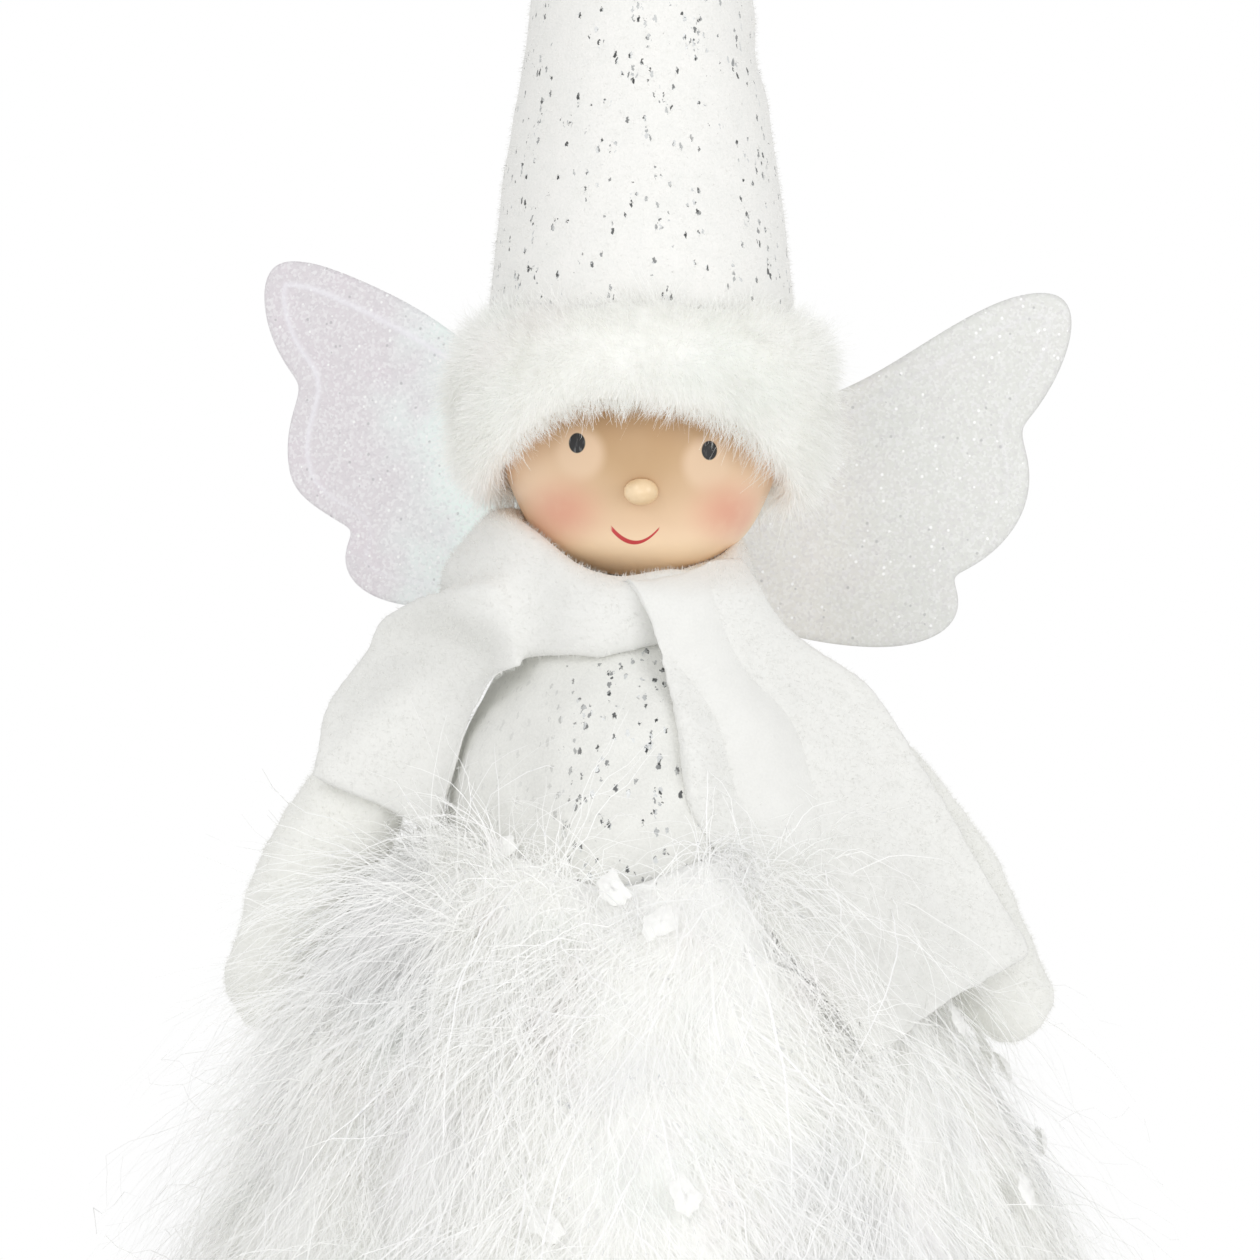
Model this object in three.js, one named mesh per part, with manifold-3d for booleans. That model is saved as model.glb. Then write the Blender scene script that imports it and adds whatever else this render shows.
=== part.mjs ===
// Standing plush angel figurine, half a metre tall, built from its separate sewn and glued pieces.
// Millimetres, +Z up, with the origin at the centre of the base's underside.
// The figure faces -Y. Left and right are the figure's own, so its left side is +X.
import * as THREE from "three";
import { mergeVertices } from "three/addons/utils/BufferGeometryUtils.js";
import Module from "manifold-3d";

const wasm = await Module();
wasm.setup();

// Fits
const GAP = 0.3; // gap left between two pieces that touch
const DRAPE_GAP = 0.6; // gap left under cloth that lies on a rounded piece

// Base
const BASE_RADIUS = 88; // felt and board disc
const FELT_THICKNESS = 2;
const BOARD_THICKNESS = 3;
const BALLAST_RADIUS = 60; // sand bag in the foot of the core
const BALLAST_HEIGHT = 22;
const BALLAST_HOLE = 14; // radius left free round the stick

// Foam core and stick
const CORE_BASE_RADIUS = 84;
const CORE_TOP_RADIUS = 36;
const CORE_HEIGHT = 181;
const CHEST_HEIGHT = 36; // rounded chest block on top of the core
const CHEST_NECK_RADIUS = 16;
const STICK_RADIUS = 4;
const STICK_IN_HEAD = 22; // how far the stick goes up into the head

// Bodice and skirt
const BODICE_CLOTH = 2.5;
const BODICE_DROP = 28; // how far the bodice reaches below the chest block
const SKIRT_WAIST_DROP = 18; // the skirt's top edge below the chest block
const SKIRT_WAIST_PILE = 3; // pile standing on the bodice at the waist
const SKIRT_HEM_RADIUS = 112;
const SKIRT_FULLNESS = 0.85; // below 1 the bell swells out nearer the waist
const SKIRT_HEM_LIFT = 1.5; // the hem stays clear of the table
const PILE_ROWS = 7; // woven rows of eyelash pile
const PILE_STEP = 2.4; // how far each row stands out over the next
const PILE_TUFTS = 20; // tufts round one row
const PILE_TUFT_DEPTH = 0.9;

// Head and hat
const NECK_GAP = 5.4; // free stick between chest and head
const HEAD_RADIUS = 31;
const NOSE_RADIUS = 4;
const NOSE_DROP = 12.4; // the nose sits this far below the middle of the head
const HAT_RIM_RISE = 13.6; // the rim sits this far above the middle of the head
const HAT_RIM_RADIUS = 36.2;
const HAT_HEIGHT = 228;
const HAT_TIP_RADIUS = 5;
const HAT_CLOTH = 2;
const HAT_EMPTY_TIP = 30; // length at the tip that the filling does not reach
const BRIM_RADIUS = 34.5; // middle of the fur roll
const BRIM_HALF_WIDTH = 8;
const BRIM_HALF_HEIGHT = 15; // at the forehead
const BRIM_BACK_EXTRA = 3; // the roll is taller at the sides and back
const BRIM_RISE = 8.5; // middle of the roll above the middle of the head
const BRIM_TILT_ANGLE = 17; // degrees, lower at the back

// Scarf
const SCARF_RADIUS = 23; // middle of the roll round the neck
const SCARF_HALF_WIDTH = 10.5;
const SCARF_HALF_HEIGHT = 11.5;
const SCARF_TILT_ANGLE = 5; // degrees, lower under the chin
const SCARF_SIDE_RISE = 6.5; // the roll stands higher beside the jaw than under the chin
const SCARF_FLARE = 5; // and leans out there
const SCARF_SHIFT = 3.5; // pulled towards the right shoulder by its longer wrap
const SCARF_CLOTH = 3;
const SCARF_WIDTH = 44;
const SCARF_FOLD_DEPTH = 1; // lengthwise folds of the roll
const LEFT_TAIL_LENGTH = 109;
const LEFT_TAIL_START = 10.5; // sideways from the middle of the chin
const LEFT_TAIL_RISE = 5.5; // the tail leaves the roll this far above its middle
const LEFT_TAIL_KNOT_WIDTH = 23; // gathered width under the chin
const LEFT_TAIL_FROM_ANGLE = 34; // degrees from straight down at the knot
const LEFT_TAIL_TO_ANGLE = 29; // degrees from straight down at the hem
const RIGHT_TAIL_LENGTH = 54;
const RIGHT_TAIL_WIDTH = 32; // its outer edge is turned under along the arm
const RIGHT_TAIL_START = 19; // sideways from the middle of the chin
const RIGHT_TAIL_DROP = 7; // the tail leaves the roll this far below its middle
const RIGHT_TAIL_KNOT_WIDTH = 26;
const RIGHT_TAIL_FROM_ANGLE = -84;
const RIGHT_TAIL_TO_ANGLE = 0;
const RIGHT_TAIL_FACING_ANGLE = -14; // degrees, it is laid over the shoulder from this side
const DRAPE_SLOPE = 1.3; // steepest fall of cloth off a rounded piece
const RAY_START = 300; // the drape is felt for from this far in front

// Arms
const ARM_LENGTH = 92;
const ARM_ROOT_RADIUS = 5; // gathered end at the shoulder seam
const ARM_HALF_WIDTH = 13;
const ARM_FLATNESS = 0.8; // depth of the arm as a share of its width
const SHOULDER_RISE = 14; // seam above the foot of the chest block
const LEFT_ARM_START_ANGLE = 36; // degrees from straight down at the shoulder
const LEFT_ARM_END_ANGLE = 25; // degrees from straight down at the hand
const RIGHT_ARM_START_ANGLE = 53;
const RIGHT_ARM_END_ANGLE = 5;

// Wings
const WING_REACH = 94; // seam to tip
const WING_RISE = 63; // top of the upper lobe above the seam's middle
const WING_DROP = 21; // bottom of the lower lobe below the seam's middle
const WING_SEAM = 22; // length of the sewn edge
const WING_THICKNESS = 2;
const WING_SEAT_DROP = 23.4; // seam's middle below the middle of the head
const WING_ROLL_ANGLE = 2.6; // degrees, the pair sits a little crooked
const LEFT_WING_FOLD_ANGLE = 16; // degrees back from flat
const RIGHT_WING_FOLD_ANGLE = 28;
const WING_TAB_WIDTH = 12;
const WING_TAB_DROP = 52; // how far the tab reaches down below the seam's middle
const WING_TAB_TOP = 14;
const WING_TAB_CLOTH = 3.2;

// Heights that follow from the pieces stacked on each other
const BOARD_Z = FELT_THICKNESS;
const CORE_Z = BOARD_Z + BOARD_THICKNESS;
const CHEST_Z = CORE_Z + CORE_HEIGHT;
const CHEST_TOP_Z = CHEST_Z + CHEST_HEIGHT;
const HEAD_Z = CHEST_TOP_Z + NECK_GAP + HEAD_RADIUS;
const HAT_RIM_Z = HEAD_Z + HAT_RIM_RISE;
const HAT_TOP_Z = HAT_RIM_Z + HAT_HEIGHT;
const SCARF_Z = CHEST_TOP_Z - 1;
const WAIST_Z = CHEST_Z - SKIRT_WAIST_DROP;
const SHOULDER_Z = CHEST_Z + SHOULDER_RISE;
const WING_Z = HEAD_Z - WING_SEAT_DROP;

const rad = THREE.MathUtils.degToRad;

// Materials
function cloth(color, roughness = 0.95) {
  return new THREE.MeshStandardMaterial({ color, roughness, metalness: 0 });
}
const felt = cloth(0xe9e6de);
const board = cloth(0x9c8a6c, 0.9);
const foam = cloth(0xf7f7f5, 0.85);
const sack = cloth(0xcfc4aa);
const beech = cloth(0xcda774, 0.6);
const fleece = cloth(0xf3f2ee);
const fleckedFleece = cloth(0xe9e8e5);
const pile = cloth(0xf4f3ee);
const fur = cloth(0xfaf9f6);
const filling = cloth(0xf5f5f5);
const skin = cloth(0xdcb88f, 0.45);
const glitter = cloth(0xe6e2e6, 0.4);

// Makes one closed body of a vertex list and a triangle list, facing outwards.
function closedBody(points, triangles) {
  let volume = 0;
  for (const [a, b, c] of triangles) {
    volume += points[a].dot(new THREE.Vector3().crossVectors(points[b], points[c]));
  }
  const index = [];
  for (const [a, b, c] of triangles) {
    index.push(a, volume > 0 ? b : c, volume > 0 ? c : b);
  }
  const geometry = new THREE.BufferGeometry().setFromPoints(points);
  geometry.setIndex(index);
  return geometry;
}

// Merges equal corners and drops the faces that have shrunk to a line.
function welded(geometry) {
  const bare = geometry.clone();
  bare.deleteAttribute("normal");
  bare.deleteAttribute("uv");
  const merged = mergeVertices(bare, 1e-4);
  const index = [];
  for (let i = 0; i < merged.index.count; i += 3) {
    const corners = [0, 1, 2].map((k) => merged.index.getX(i + k));
    if (new Set(corners).size === 3) {
      index.push(...corners);
    }
  }
  merged.setIndex(index);
  return merged;
}

function solidOf(geometry) {
  const merged = welded(geometry);
  const mesh = new wasm.Mesh({
    numProp: 3,
    vertProperties: Float32Array.from(merged.attributes.position.array),
    triVerts: Uint32Array.from(merged.index.array),
  });
  return new wasm.Manifold(mesh);
}

function geometryOf(solid) {
  const mesh = solid.getMesh();
  const geometry = new THREE.BufferGeometry();
  geometry.setAttribute("position", new THREE.BufferAttribute(mesh.vertProperties, 3));
  geometry.setIndex(new THREE.BufferAttribute(mesh.triVerts, 1));
  return geometry;
}

// Takes the given shapes away from a shape.
function cut(geometry, ...tools) {
  const solid = tools.reduce((rest, tool) => rest.subtract(solidOf(tool)), solidOf(geometry));
  return geometryOf(solid);
}

// Turns a profile of [radius, height] points round the Z axis, listed from the bottom up.
function turned(profile, segments = 36) {
  const points = profile.map(([r, z]) => new THREE.Vector2(r, z));
  return welded(new THREE.LatheGeometry(points, segments).rotateX(Math.PI / 2));
}

function ball(radius, segments = 36) {
  return welded(new THREE.SphereGeometry(radius, segments, Math.round(segments * 0.6)).rotateX(Math.PI / 2));
}

// The head grown by the gap, for cutting what lies against it.
function headEnvelope() {
  return ball(HEAD_RADIUS + GAP).translate(0, 0, HEAD_Z);
}

// Joins loops of equal point count into a skin, closed by end caps or into a ring.
function lofted(loops, ring = false) {
  const count = loops[0].length;
  const points = loops.flat();
  const triangles = [];
  const last = ring ? loops.length : loops.length - 1;
  for (let i = 0; i < last; i += 1) {
    for (let j = 0; j < count; j += 1) {
      const a = i * count + j;
      const b = i * count + ((j + 1) % count);
      const c = ((i + 1) % loops.length) * count + j;
      const d = ((i + 1) % loops.length) * count + ((j + 1) % count);
      triangles.push([a, b, c], [b, d, c]);
    }
  }
  if (!ring) {
    for (const [loop, reverse] of [[0, true], [loops.length - 1, false]]) {
      const middle = new THREE.Vector3();
      loops[loop].forEach((p) => middle.addScaledVector(p, 1 / count));
      points.push(middle);
      for (let j = 0; j < count; j += 1) {
        const a = loop * count + j;
        const b = loop * count + ((j + 1) % count);
        triangles.push(reverse ? [b, a, points.length - 1] : [a, b, points.length - 1]);
      }
    }
  }
  return closedBody(points, triangles);
}

// Walks along an arc in the XZ plane whose heading, in degrees from straight down, turns evenly.
function arcPoint(start, from, to, length, distance) {
  const turn = rad(to - from) / length;
  const a = rad(from);
  const b = a + turn * distance;
  const x = Math.abs(turn) < 1e-6 ? Math.sin(a) * distance : (Math.cos(a) - Math.cos(b)) / turn;
  const drop = Math.abs(turn) < 1e-6 ? Math.cos(a) * distance : (Math.sin(b) - Math.sin(a)) / turn;
  return { x: start.x + x, z: start.z - drop, heading: b };
}

// Radius of the foam under the clothes at a height.
function coreRadius(z) {
  if (z <= CHEST_Z) {
    return CORE_BASE_RADIUS + ((CORE_TOP_RADIUS - CORE_BASE_RADIUS) * (z - CORE_Z)) / CORE_HEIGHT;
  }
  const share = Math.min(1, (z - CHEST_Z) / CHEST_HEIGHT);
  return CHEST_NECK_RADIUS + (CORE_TOP_RADIUS - CHEST_NECK_RADIUS) * Math.cos((share * Math.PI) / 2);
}

function bodiceRadius(z) {
  return coreRadius(z) + GAP + BODICE_CLOTH;
}

// Outside of the skirt's pile, without its rows.
function skirtRadius(z) {
  const share = (WAIST_Z - z) / (WAIST_Z - SKIRT_HEM_LIFT);
  const waist = bodiceRadius(WAIST_Z) + SKIRT_WAIST_PILE;
  return waist + (SKIRT_HEM_RADIUS - waist) * Math.sin((share * Math.PI) / 2) ** SKIRT_FULLNESS;
}

function hatRadius(z) {
  return HAT_RIM_RADIUS + ((HAT_TIP_RADIUS - HAT_RIM_RADIUS) * (z - HAT_RIM_Z)) / HAT_HEIGHT;
}

function chestHeights(steps) {
  return Array.from({ length: steps + 1 }, (_, i) => CHEST_Z + (CHEST_HEIGHT * i) / steps);
}

function ballastBag() {
  const middle = (BALLAST_RADIUS + BALLAST_HOLE) / 2;
  const half = (BALLAST_RADIUS - BALLAST_HOLE) / 2;
  const profile = [];
  for (let i = 0; i <= 12; i += 1) {
    const a = (i / 12) * Math.PI * 2 - Math.PI / 2;
    const round = (v) => Math.sign(v) * Math.abs(v) ** 0.6;
    const z = CORE_Z + (BALLAST_HEIGHT / 2) * (1 + round(Math.sin(a)));
    profile.push([middle + half * round(Math.cos(a)), z]);
  }
  return turned(profile, 24);
}

// Foam cone with a bore for the stick and a pocket for the sand bag in its foot.
function bodyCore() {
  const bore = STICK_RADIUS + GAP;
  const pocket = BALLAST_RADIUS + GAP;
  const pocketTop = CORE_Z + BALLAST_HEIGHT + GAP;
  return turned([
    [pocket, CORE_Z],
    [CORE_BASE_RADIUS, CORE_Z],
    [CORE_TOP_RADIUS, CHEST_Z],
    [bore, CHEST_Z],
    [bore, pocketTop],
    [pocket, pocketTop],
    [pocket, CORE_Z],
  ]);
}

function chestBlock() {
  const bore = STICK_RADIUS + GAP;
  const outside = chestHeights(6).map((z) => [coreRadius(z), z]);
  return turned([[bore, CHEST_Z], ...outside, [bore, CHEST_TOP_Z], [bore, CHEST_Z]]);
}

function bodice() {
  const heights = [CHEST_Z - BODICE_DROP, ...chestHeights(6)];
  const outside = heights.map((z) => [bodiceRadius(z), z]);
  const inside = heights.map((z) => [coreRadius(z) + GAP, z]).reverse();
  return turned([...outside, ...inside, outside[0]]);
}

// The chest with its bodice as a plain solid, grown by a margin, for cutting what is sewn on it.
function bodiceEnvelope(margin) {
  const heights = [CHEST_Z - BODICE_DROP, ...chestHeights(6)];
  const outside = heights.map((z) => [bodiceRadius(z) + margin, z]);
  const bottom = heights[0];
  return turned([[0, bottom], ...outside, [0, CHEST_TOP_Z + margin]]);
}

// Bell of long pile: each woven row stands out over the one below, and is parted into tufts.
function skirt() {
  const loops = [];
  const sides = PILE_TUFTS * 4;
  const ringAt = (z, radiusAt) => {
    const loop = [];
    for (let j = 0; j < sides; j += 1) {
      const a = (j / sides) * Math.PI * 2;
      const r = radiusAt(a);
      loop.push(new THREE.Vector3(r * Math.cos(a), r * Math.sin(a), z));
    }
    return loop;
  };
  const rowHeight = (WAIST_Z - SKIRT_HEM_LIFT) / PILE_ROWS;
  for (let row = 0; row < PILE_ROWS; row += 1) {
    const low = SKIRT_HEM_LIFT + row * rowHeight;
    const high = row === PILE_ROWS - 1 ? WAIST_Z : low + rowHeight - 1.5;
    const phase = row % 2 === 0 ? 0 : Math.PI;
    const tuft = (a) => PILE_TUFT_DEPTH * Math.cos(PILE_TUFTS * a + phase);
    const share = row === PILE_ROWS - 1 ? 0 : 1;
    loops.push(ringAt(low, (a) => skirtRadius(low) - PILE_TUFT_DEPTH + tuft(a) * share));
    loops.push(ringAt(high, () => skirtRadius(high) - PILE_STEP * share));
  }
  const coreMargin = (z) => coreRadius(z) + GAP;
  const bodiceFoot = CHEST_Z - BODICE_DROP - GAP;
  const inner = [
    [bodiceRadius(WAIST_Z) + GAP, WAIST_Z],
    [bodiceRadius(bodiceFoot) + GAP, bodiceFoot],
    [coreMargin(bodiceFoot), bodiceFoot - GAP],
    [coreMargin(CORE_Z), CORE_Z + GAP],
    [BASE_RADIUS + GAP, CORE_Z + GAP],
    [BASE_RADIUS + GAP, SKIRT_HEM_LIFT],
  ];
  for (const [r, z] of inner) {
    loops.push(ringAt(z, () => r));
  }
  return lofted(loops, true);
}

// Where an arm is sewn on: its gathered end just touches the bodice beside the chest.
function shoulderPoint() {
  const slope = (bodiceRadius(SHOULDER_Z + 0.5) - bodiceRadius(SHOULDER_Z - 0.5));
  const length = Math.hypot(1, slope);
  const reach = ARM_ROOT_RADIUS + GAP;
  return {
    x: bodiceRadius(SHOULDER_Z) + reach / length,
    z: SHOULDER_Z - (reach * slope) / length,
  };
}

// Half width of a stuffed arm at a distance from the shoulder seam, round at both ends.
function armHalfWidth(distance) {
  const swell = THREE.MathUtils.smoothstep(distance, 0, ARM_LENGTH * 0.42);
  const wide = ARM_ROOT_RADIUS + (ARM_HALF_WIDTH - ARM_ROOT_RADIUS) * swell;
  const taper = 1 - 0.16 * THREE.MathUtils.smoothstep(distance, ARM_LENGTH * 0.55, ARM_LENGTH);
  const nose = ARM_LENGTH - distance;
  const tip = nose < ARM_HALF_WIDTH ? Math.sqrt(1 - (1 - nose / ARM_HALF_WIDTH) ** 2) : 1;
  return wide * taper * tip;
}

// Stuffed sleeve with a mitten end, bent in an arc from the shoulder to the hand.
function arm(side, from, to, grow = 0) {
  const loops = [];
  const sides = 14;
  const root = shoulderPoint();
  const stations = [];
  for (const share of [0.97, 0.8, 0.45]) {
    stations.push([-ARM_ROOT_RADIUS * share, ARM_ROOT_RADIUS * Math.sqrt(1 - share * share)]);
  }
  for (const share of [0, 0.08, 0.16, 0.24, 0.34, 0.46, 0.58, 0.7, 0.8, 0.87, 0.92, 0.96, 0.99]) {
    stations.push([ARM_LENGTH * share, armHalfWidth(ARM_LENGTH * share)]);
  }
  for (const [distance, half] of stations) {
    const p = arcPoint(root, from, to, ARM_LENGTH, distance);
    const across = new THREE.Vector3(Math.cos(p.heading), 0, Math.sin(p.heading));
    const flat = distance <= 0 ? 1 : ARM_FLATNESS + (1 - ARM_FLATNESS) * Math.max(0, 1 - distance / 20);
    const loop = [];
    for (let j = 0; j < sides; j += 1) {
      const a = (j / sides) * Math.PI * 2;
      const point = new THREE.Vector3(p.x, 0, p.z);
      point.addScaledVector(across, Math.cos(a) * (half + grow));
      point.y += Math.sin(a) * (half * flat + grow);
      point.x *= side;
      loop.push(point);
    }
    loops.push(loop);
  }
  return lofted(loops);
}

// Soft roll of scarf round the neck, high beside the jaw, with lengthwise folds that wind slowly round it.
function scarfWrap() {
  const loops = [];
  for (let i = 0; i < 44; i += 1) {
    const turn = (i / 44) * Math.PI * 2;
    const offChin = 1 - Math.max(0, -Math.sin(turn)) ** 3;
    const loop = [];
    for (let j = 0; j < 14; j += 1) {
      const a = (j / 14) * Math.PI * 2;
      const fold = SCARF_FOLD_DEPTH * Math.cos(3 * a + 2 * turn);
      const upper = Math.max(0, Math.sin(a));
      const flare = SCARF_FLARE * upper * Math.abs(Math.cos(turn));
      const r = SCARF_RADIUS + flare + (SCARF_HALF_WIDTH - SCARF_FOLD_DEPTH + fold) * Math.cos(a);
      const z = (SCARF_HALF_HEIGHT - SCARF_FOLD_DEPTH + fold) * Math.sin(a) + SCARF_SIDE_RISE * offChin * upper;
      loop.push(new THREE.Vector3(r * Math.cos(turn), r * Math.sin(turn), z));
    }
    loops.push(loop);
  }
  const roll = lofted(loops, true).rotateX(rad(SCARF_TILT_ANGLE)).translate(-SCARF_SHIFT, 0, SCARF_Z);
  return cut(roll, bodiceEnvelope(GAP), headEnvelope());
}

// Width of a tail that is gathered where it leaves the neck and spreads to the full strip.
function tailWidth(knotWidth, fullWidth) {
  return (share) => knotWidth + (fullWidth - knotWidth) * THREE.MathUtils.smoothstep(share, 0, 0.45);
}

// Lays a strip of cloth over the pieces below it, as seen from a facing angle about Z.
// The strip follows an arc in that view. It bridges hollows and never falls off steeper than cloth does.
// A strip with a level top starts from a straight edge across the roll, and squares up further down.
function drapedStrip({ start, from, to, length, widthAt, levelTop, facing, under }) {
  const rows = 20;
  const columns = 10;
  const turn = new THREE.Matrix4().makeRotationZ(rad(facing));
  const inward = new THREE.Vector3(0, 1, 0).applyMatrix4(turn);
  const caster = new THREE.Raycaster();
  const placeAt = (along, across) => {
    const p = arcPoint(start, from, to, length, length * along);
    const side = (across - 0.5) * widthAt(Math.min(1, Math.max(0, along)));
    const lean = p.heading * (levelTop ? THREE.MathUtils.smoothstep(along, 0, 0.45) : 1);
    return { x: p.x + Math.cos(lean) * side, z: p.z + Math.sin(lean) * side };
  };
  const depthAt = ({ x, z }) => {
    caster.set(new THREE.Vector3(x, -RAY_START, z).applyMatrix4(turn), inward);
    const hit = caster.intersectObjects(under)[0];
    return hit ? hit.distance - RAY_START : 0;
  };
  const grid = [];
  for (let i = 0; i <= rows; i += 1) {
    const row = [];
    for (let j = 0; j <= columns; j += 1) {
      const around = [[0, 0], [0.5, 0], [-0.5, 0], [0, 0.5], [0, -0.5]];
      const depths = around.map(([di, dj]) => depthAt(placeAt((i + di) / rows, (j + dj) / columns)));
      row.push({ ...placeAt(i / rows, j / columns), depth: Math.min(...depths) });
    }
    grid.push(row);
  }
  const neighbours = (i, j) => [[i - 1, j], [i + 1, j], [i, j - 1], [i, j + 1]]
    .filter(([a, b]) => a >= 0 && b >= 0 && a <= rows && b <= columns)
    .map(([a, b]) => grid[a][b]);
  for (let pass = 0; pass < 30; pass += 1) {
    grid.forEach((row, i) => row.forEach((cell, j) => {
      const near = neighbours(i, j);
      const limits = near.map((n) => n.depth + DRAPE_SLOPE * Math.hypot(n.x - cell.x, n.z - cell.z));
      const mean = near.reduce((sum, n) => sum + n.depth, 0) / near.length;
      cell.depth = Math.min(cell.depth, ...limits, pass < 6 ? mean : cell.depth);
    }));
  }
  const layer = (lift) => grid.map((row) => row.map(
    (cell) => new THREE.Vector3(cell.x, cell.depth - lift, cell.z).applyMatrix4(turn),
  ));
  const back = layer(DRAPE_GAP);
  const front = layer(DRAPE_GAP + SCARF_CLOTH);
  const loops = back.map((row, i) => [...row, ...front[i].slice().reverse()]);
  return stripBody(loops, columns + 1);
}

// Closes a strip given as loops that run along its back and return along its front.
function stripBody(loops, across) {
  const count = loops[0].length;
  const points = loops.flat();
  const triangles = [];
  for (let i = 0; i + 1 < loops.length; i += 1) {
    for (let j = 0; j < count; j += 1) {
      const a = i * count + j;
      const b = i * count + ((j + 1) % count);
      triangles.push([a, b, a + count], [b, b + count, a + count]);
    }
  }
  for (const [base, reverse] of [[0, true], [(loops.length - 1) * count, false]]) {
    for (let j = 0; j + 1 < across; j += 1) {
      const a = base + j;
      const b = base + j + 1;
      const c = base + count - 1 - j;
      const d = base + count - 2 - j;
      const faces = [[a, b, c], [b, d, c]];
      faces.forEach((f) => triangles.push(reverse ? f.reverse() : f));
    }
  }
  return closedBody(points, triangles);
}

// Turned cloth cone, pointed and a little rounded at the tip, open at the rim.
function hat() {
  const roundTip = [0.25, 0.55, 0.8, 0.95].map((s) => [
    HAT_TIP_RADIUS * Math.sqrt(1 - s * s),
    HAT_TOP_Z - HAT_TIP_RADIUS + HAT_TIP_RADIUS * s,
  ]);
  const shoulder = HAT_TOP_Z - HAT_TIP_RADIUS;
  const innerTip = HAT_TOP_Z - HAT_TIP_RADIUS - HAT_CLOTH;
  return turned([
    [0, innerTip],
    [hatRadius(innerTip) - HAT_CLOTH, innerTip],
    [HAT_RIM_RADIUS - HAT_CLOTH, HAT_RIM_Z],
    [HAT_RIM_RADIUS, HAT_RIM_Z],
    [hatRadius(HEAD_Z + HEAD_RADIUS * 2.5), HEAD_Z + HEAD_RADIUS * 2.5],
    [HAT_TIP_RADIUS, shoulder],
    ...roundTip,
    [0, HAT_TOP_Z],
  ]);
}

function hatFilling() {
  const low = HEAD_Z + HEAD_RADIUS + GAP;
  const high = HAT_TOP_Z - HAT_EMPTY_TIP;
  const inside = (z) => hatRadius(z) - HAT_CLOTH - GAP;
  return turned([[0, low], [inside(low), low], [inside(high), high], [0, high]]);
}

// Fur roll round the hat's rim, tipped back, fitted to the hat and the head.
function hatBrim() {
  const loops = [];
  for (let i = 0; i < 40; i += 1) {
    const turn = (i / 40) * Math.PI * 2;
    const behind = (1 + Math.sin(turn)) / 2;
    const halfHeight = BRIM_HALF_HEIGHT + BRIM_BACK_EXTRA * Math.sqrt(behind);
    const loop = [];
    for (let j = 0; j < 12; j += 1) {
      const a = (j / 12) * Math.PI * 2;
      const r = BRIM_RADIUS + BRIM_HALF_WIDTH * Math.cos(a);
      loop.push(new THREE.Vector3(r * Math.cos(turn), r * Math.sin(turn), halfHeight * Math.sin(a)));
    }
    loops.push(loop);
  }
  const roll = lofted(loops, true).rotateX(rad(-BRIM_TILT_ANGLE)).translate(0, 0, HEAD_Z + BRIM_RISE);
  const high = HAT_RIM_Z + BRIM_HALF_HEIGHT * 4;
  const hatEnvelope = turned([
    [0, HAT_RIM_Z - GAP],
    [HAT_RIM_RADIUS + GAP, HAT_RIM_Z - GAP],
    [hatRadius(high) + GAP, high],
    [0, high],
  ]);
  return cut(roll, hatEnvelope, headEnvelope());
}

function head() {
  const bore = new THREE.CylinderGeometry(STICK_RADIUS + GAP, STICK_RADIUS + GAP, HEAD_RADIUS, 24);
  bore.rotateX(Math.PI / 2).translate(0, 0, STICK_IN_HEAD - HEAD_RADIUS * 1.5);
  return cut(ball(HEAD_RADIUS), bore).translate(0, 0, HEAD_Z);
}

function nose() {
  const forward = Math.sqrt(HEAD_RADIUS ** 2 - NOSE_DROP ** 2);
  const bead = ball(NOSE_RADIUS, 18).translate(0, -forward, HEAD_Z - NOSE_DROP);
  return cut(bead, headEnvelope());
}

// Outline of one wing: sewn edge at the left, then lower, middle and upper lobe with two notches.
function wingOutline(side) {
  const shape = new THREE.Shape();
  const u = (share) => side * WING_REACH * share;
  const up = (share) => WING_RISE * share;
  const down = (share) => -WING_DROP * share;
  shape.moveTo(0, -WING_SEAM / 2);
  shape.bezierCurveTo(u(0.16), down(0.75), u(0.34), down(1), u(0.52), down(1));
  shape.bezierCurveTo(u(0.64), down(1), u(0.74), down(0.7), u(0.7), down(0.18));
  shape.bezierCurveTo(u(0.8), up(0), u(0.97), up(0.2), u(0.87), up(0.49));
  shape.bezierCurveTo(u(0.96), up(0.62), u(1.06), up(1), u(0.92), up(1));
  shape.bezierCurveTo(u(0.76), up(1), u(0.58), up(0.7), u(0.42), up(0.6));
  shape.bezierCurveTo(u(0.26), up(0.49), u(0.13), up(0.34), 0, WING_SEAM / 2);
  shape.closePath();
  return shape;
}

// Flat glitter sheet with a rounded sewn edge, which is the line that it folds about.
function wing(side) {
  const sheet = new THREE.ExtrudeGeometry(wingOutline(side), {
    depth: WING_THICKNESS,
    bevelEnabled: false,
    curveSegments: 9,
  });
  sheet.translate(0, 0, -WING_THICKNESS / 2).rotateX(Math.PI / 2);
  const welt = new THREE.CylinderGeometry(WING_THICKNESS / 2, WING_THICKNESS / 2, WING_SEAM, 16);
  welt.rotateX(Math.PI / 2);
  return geometryOf(solidOf(sheet).add(solidOf(welt)));
}

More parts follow.
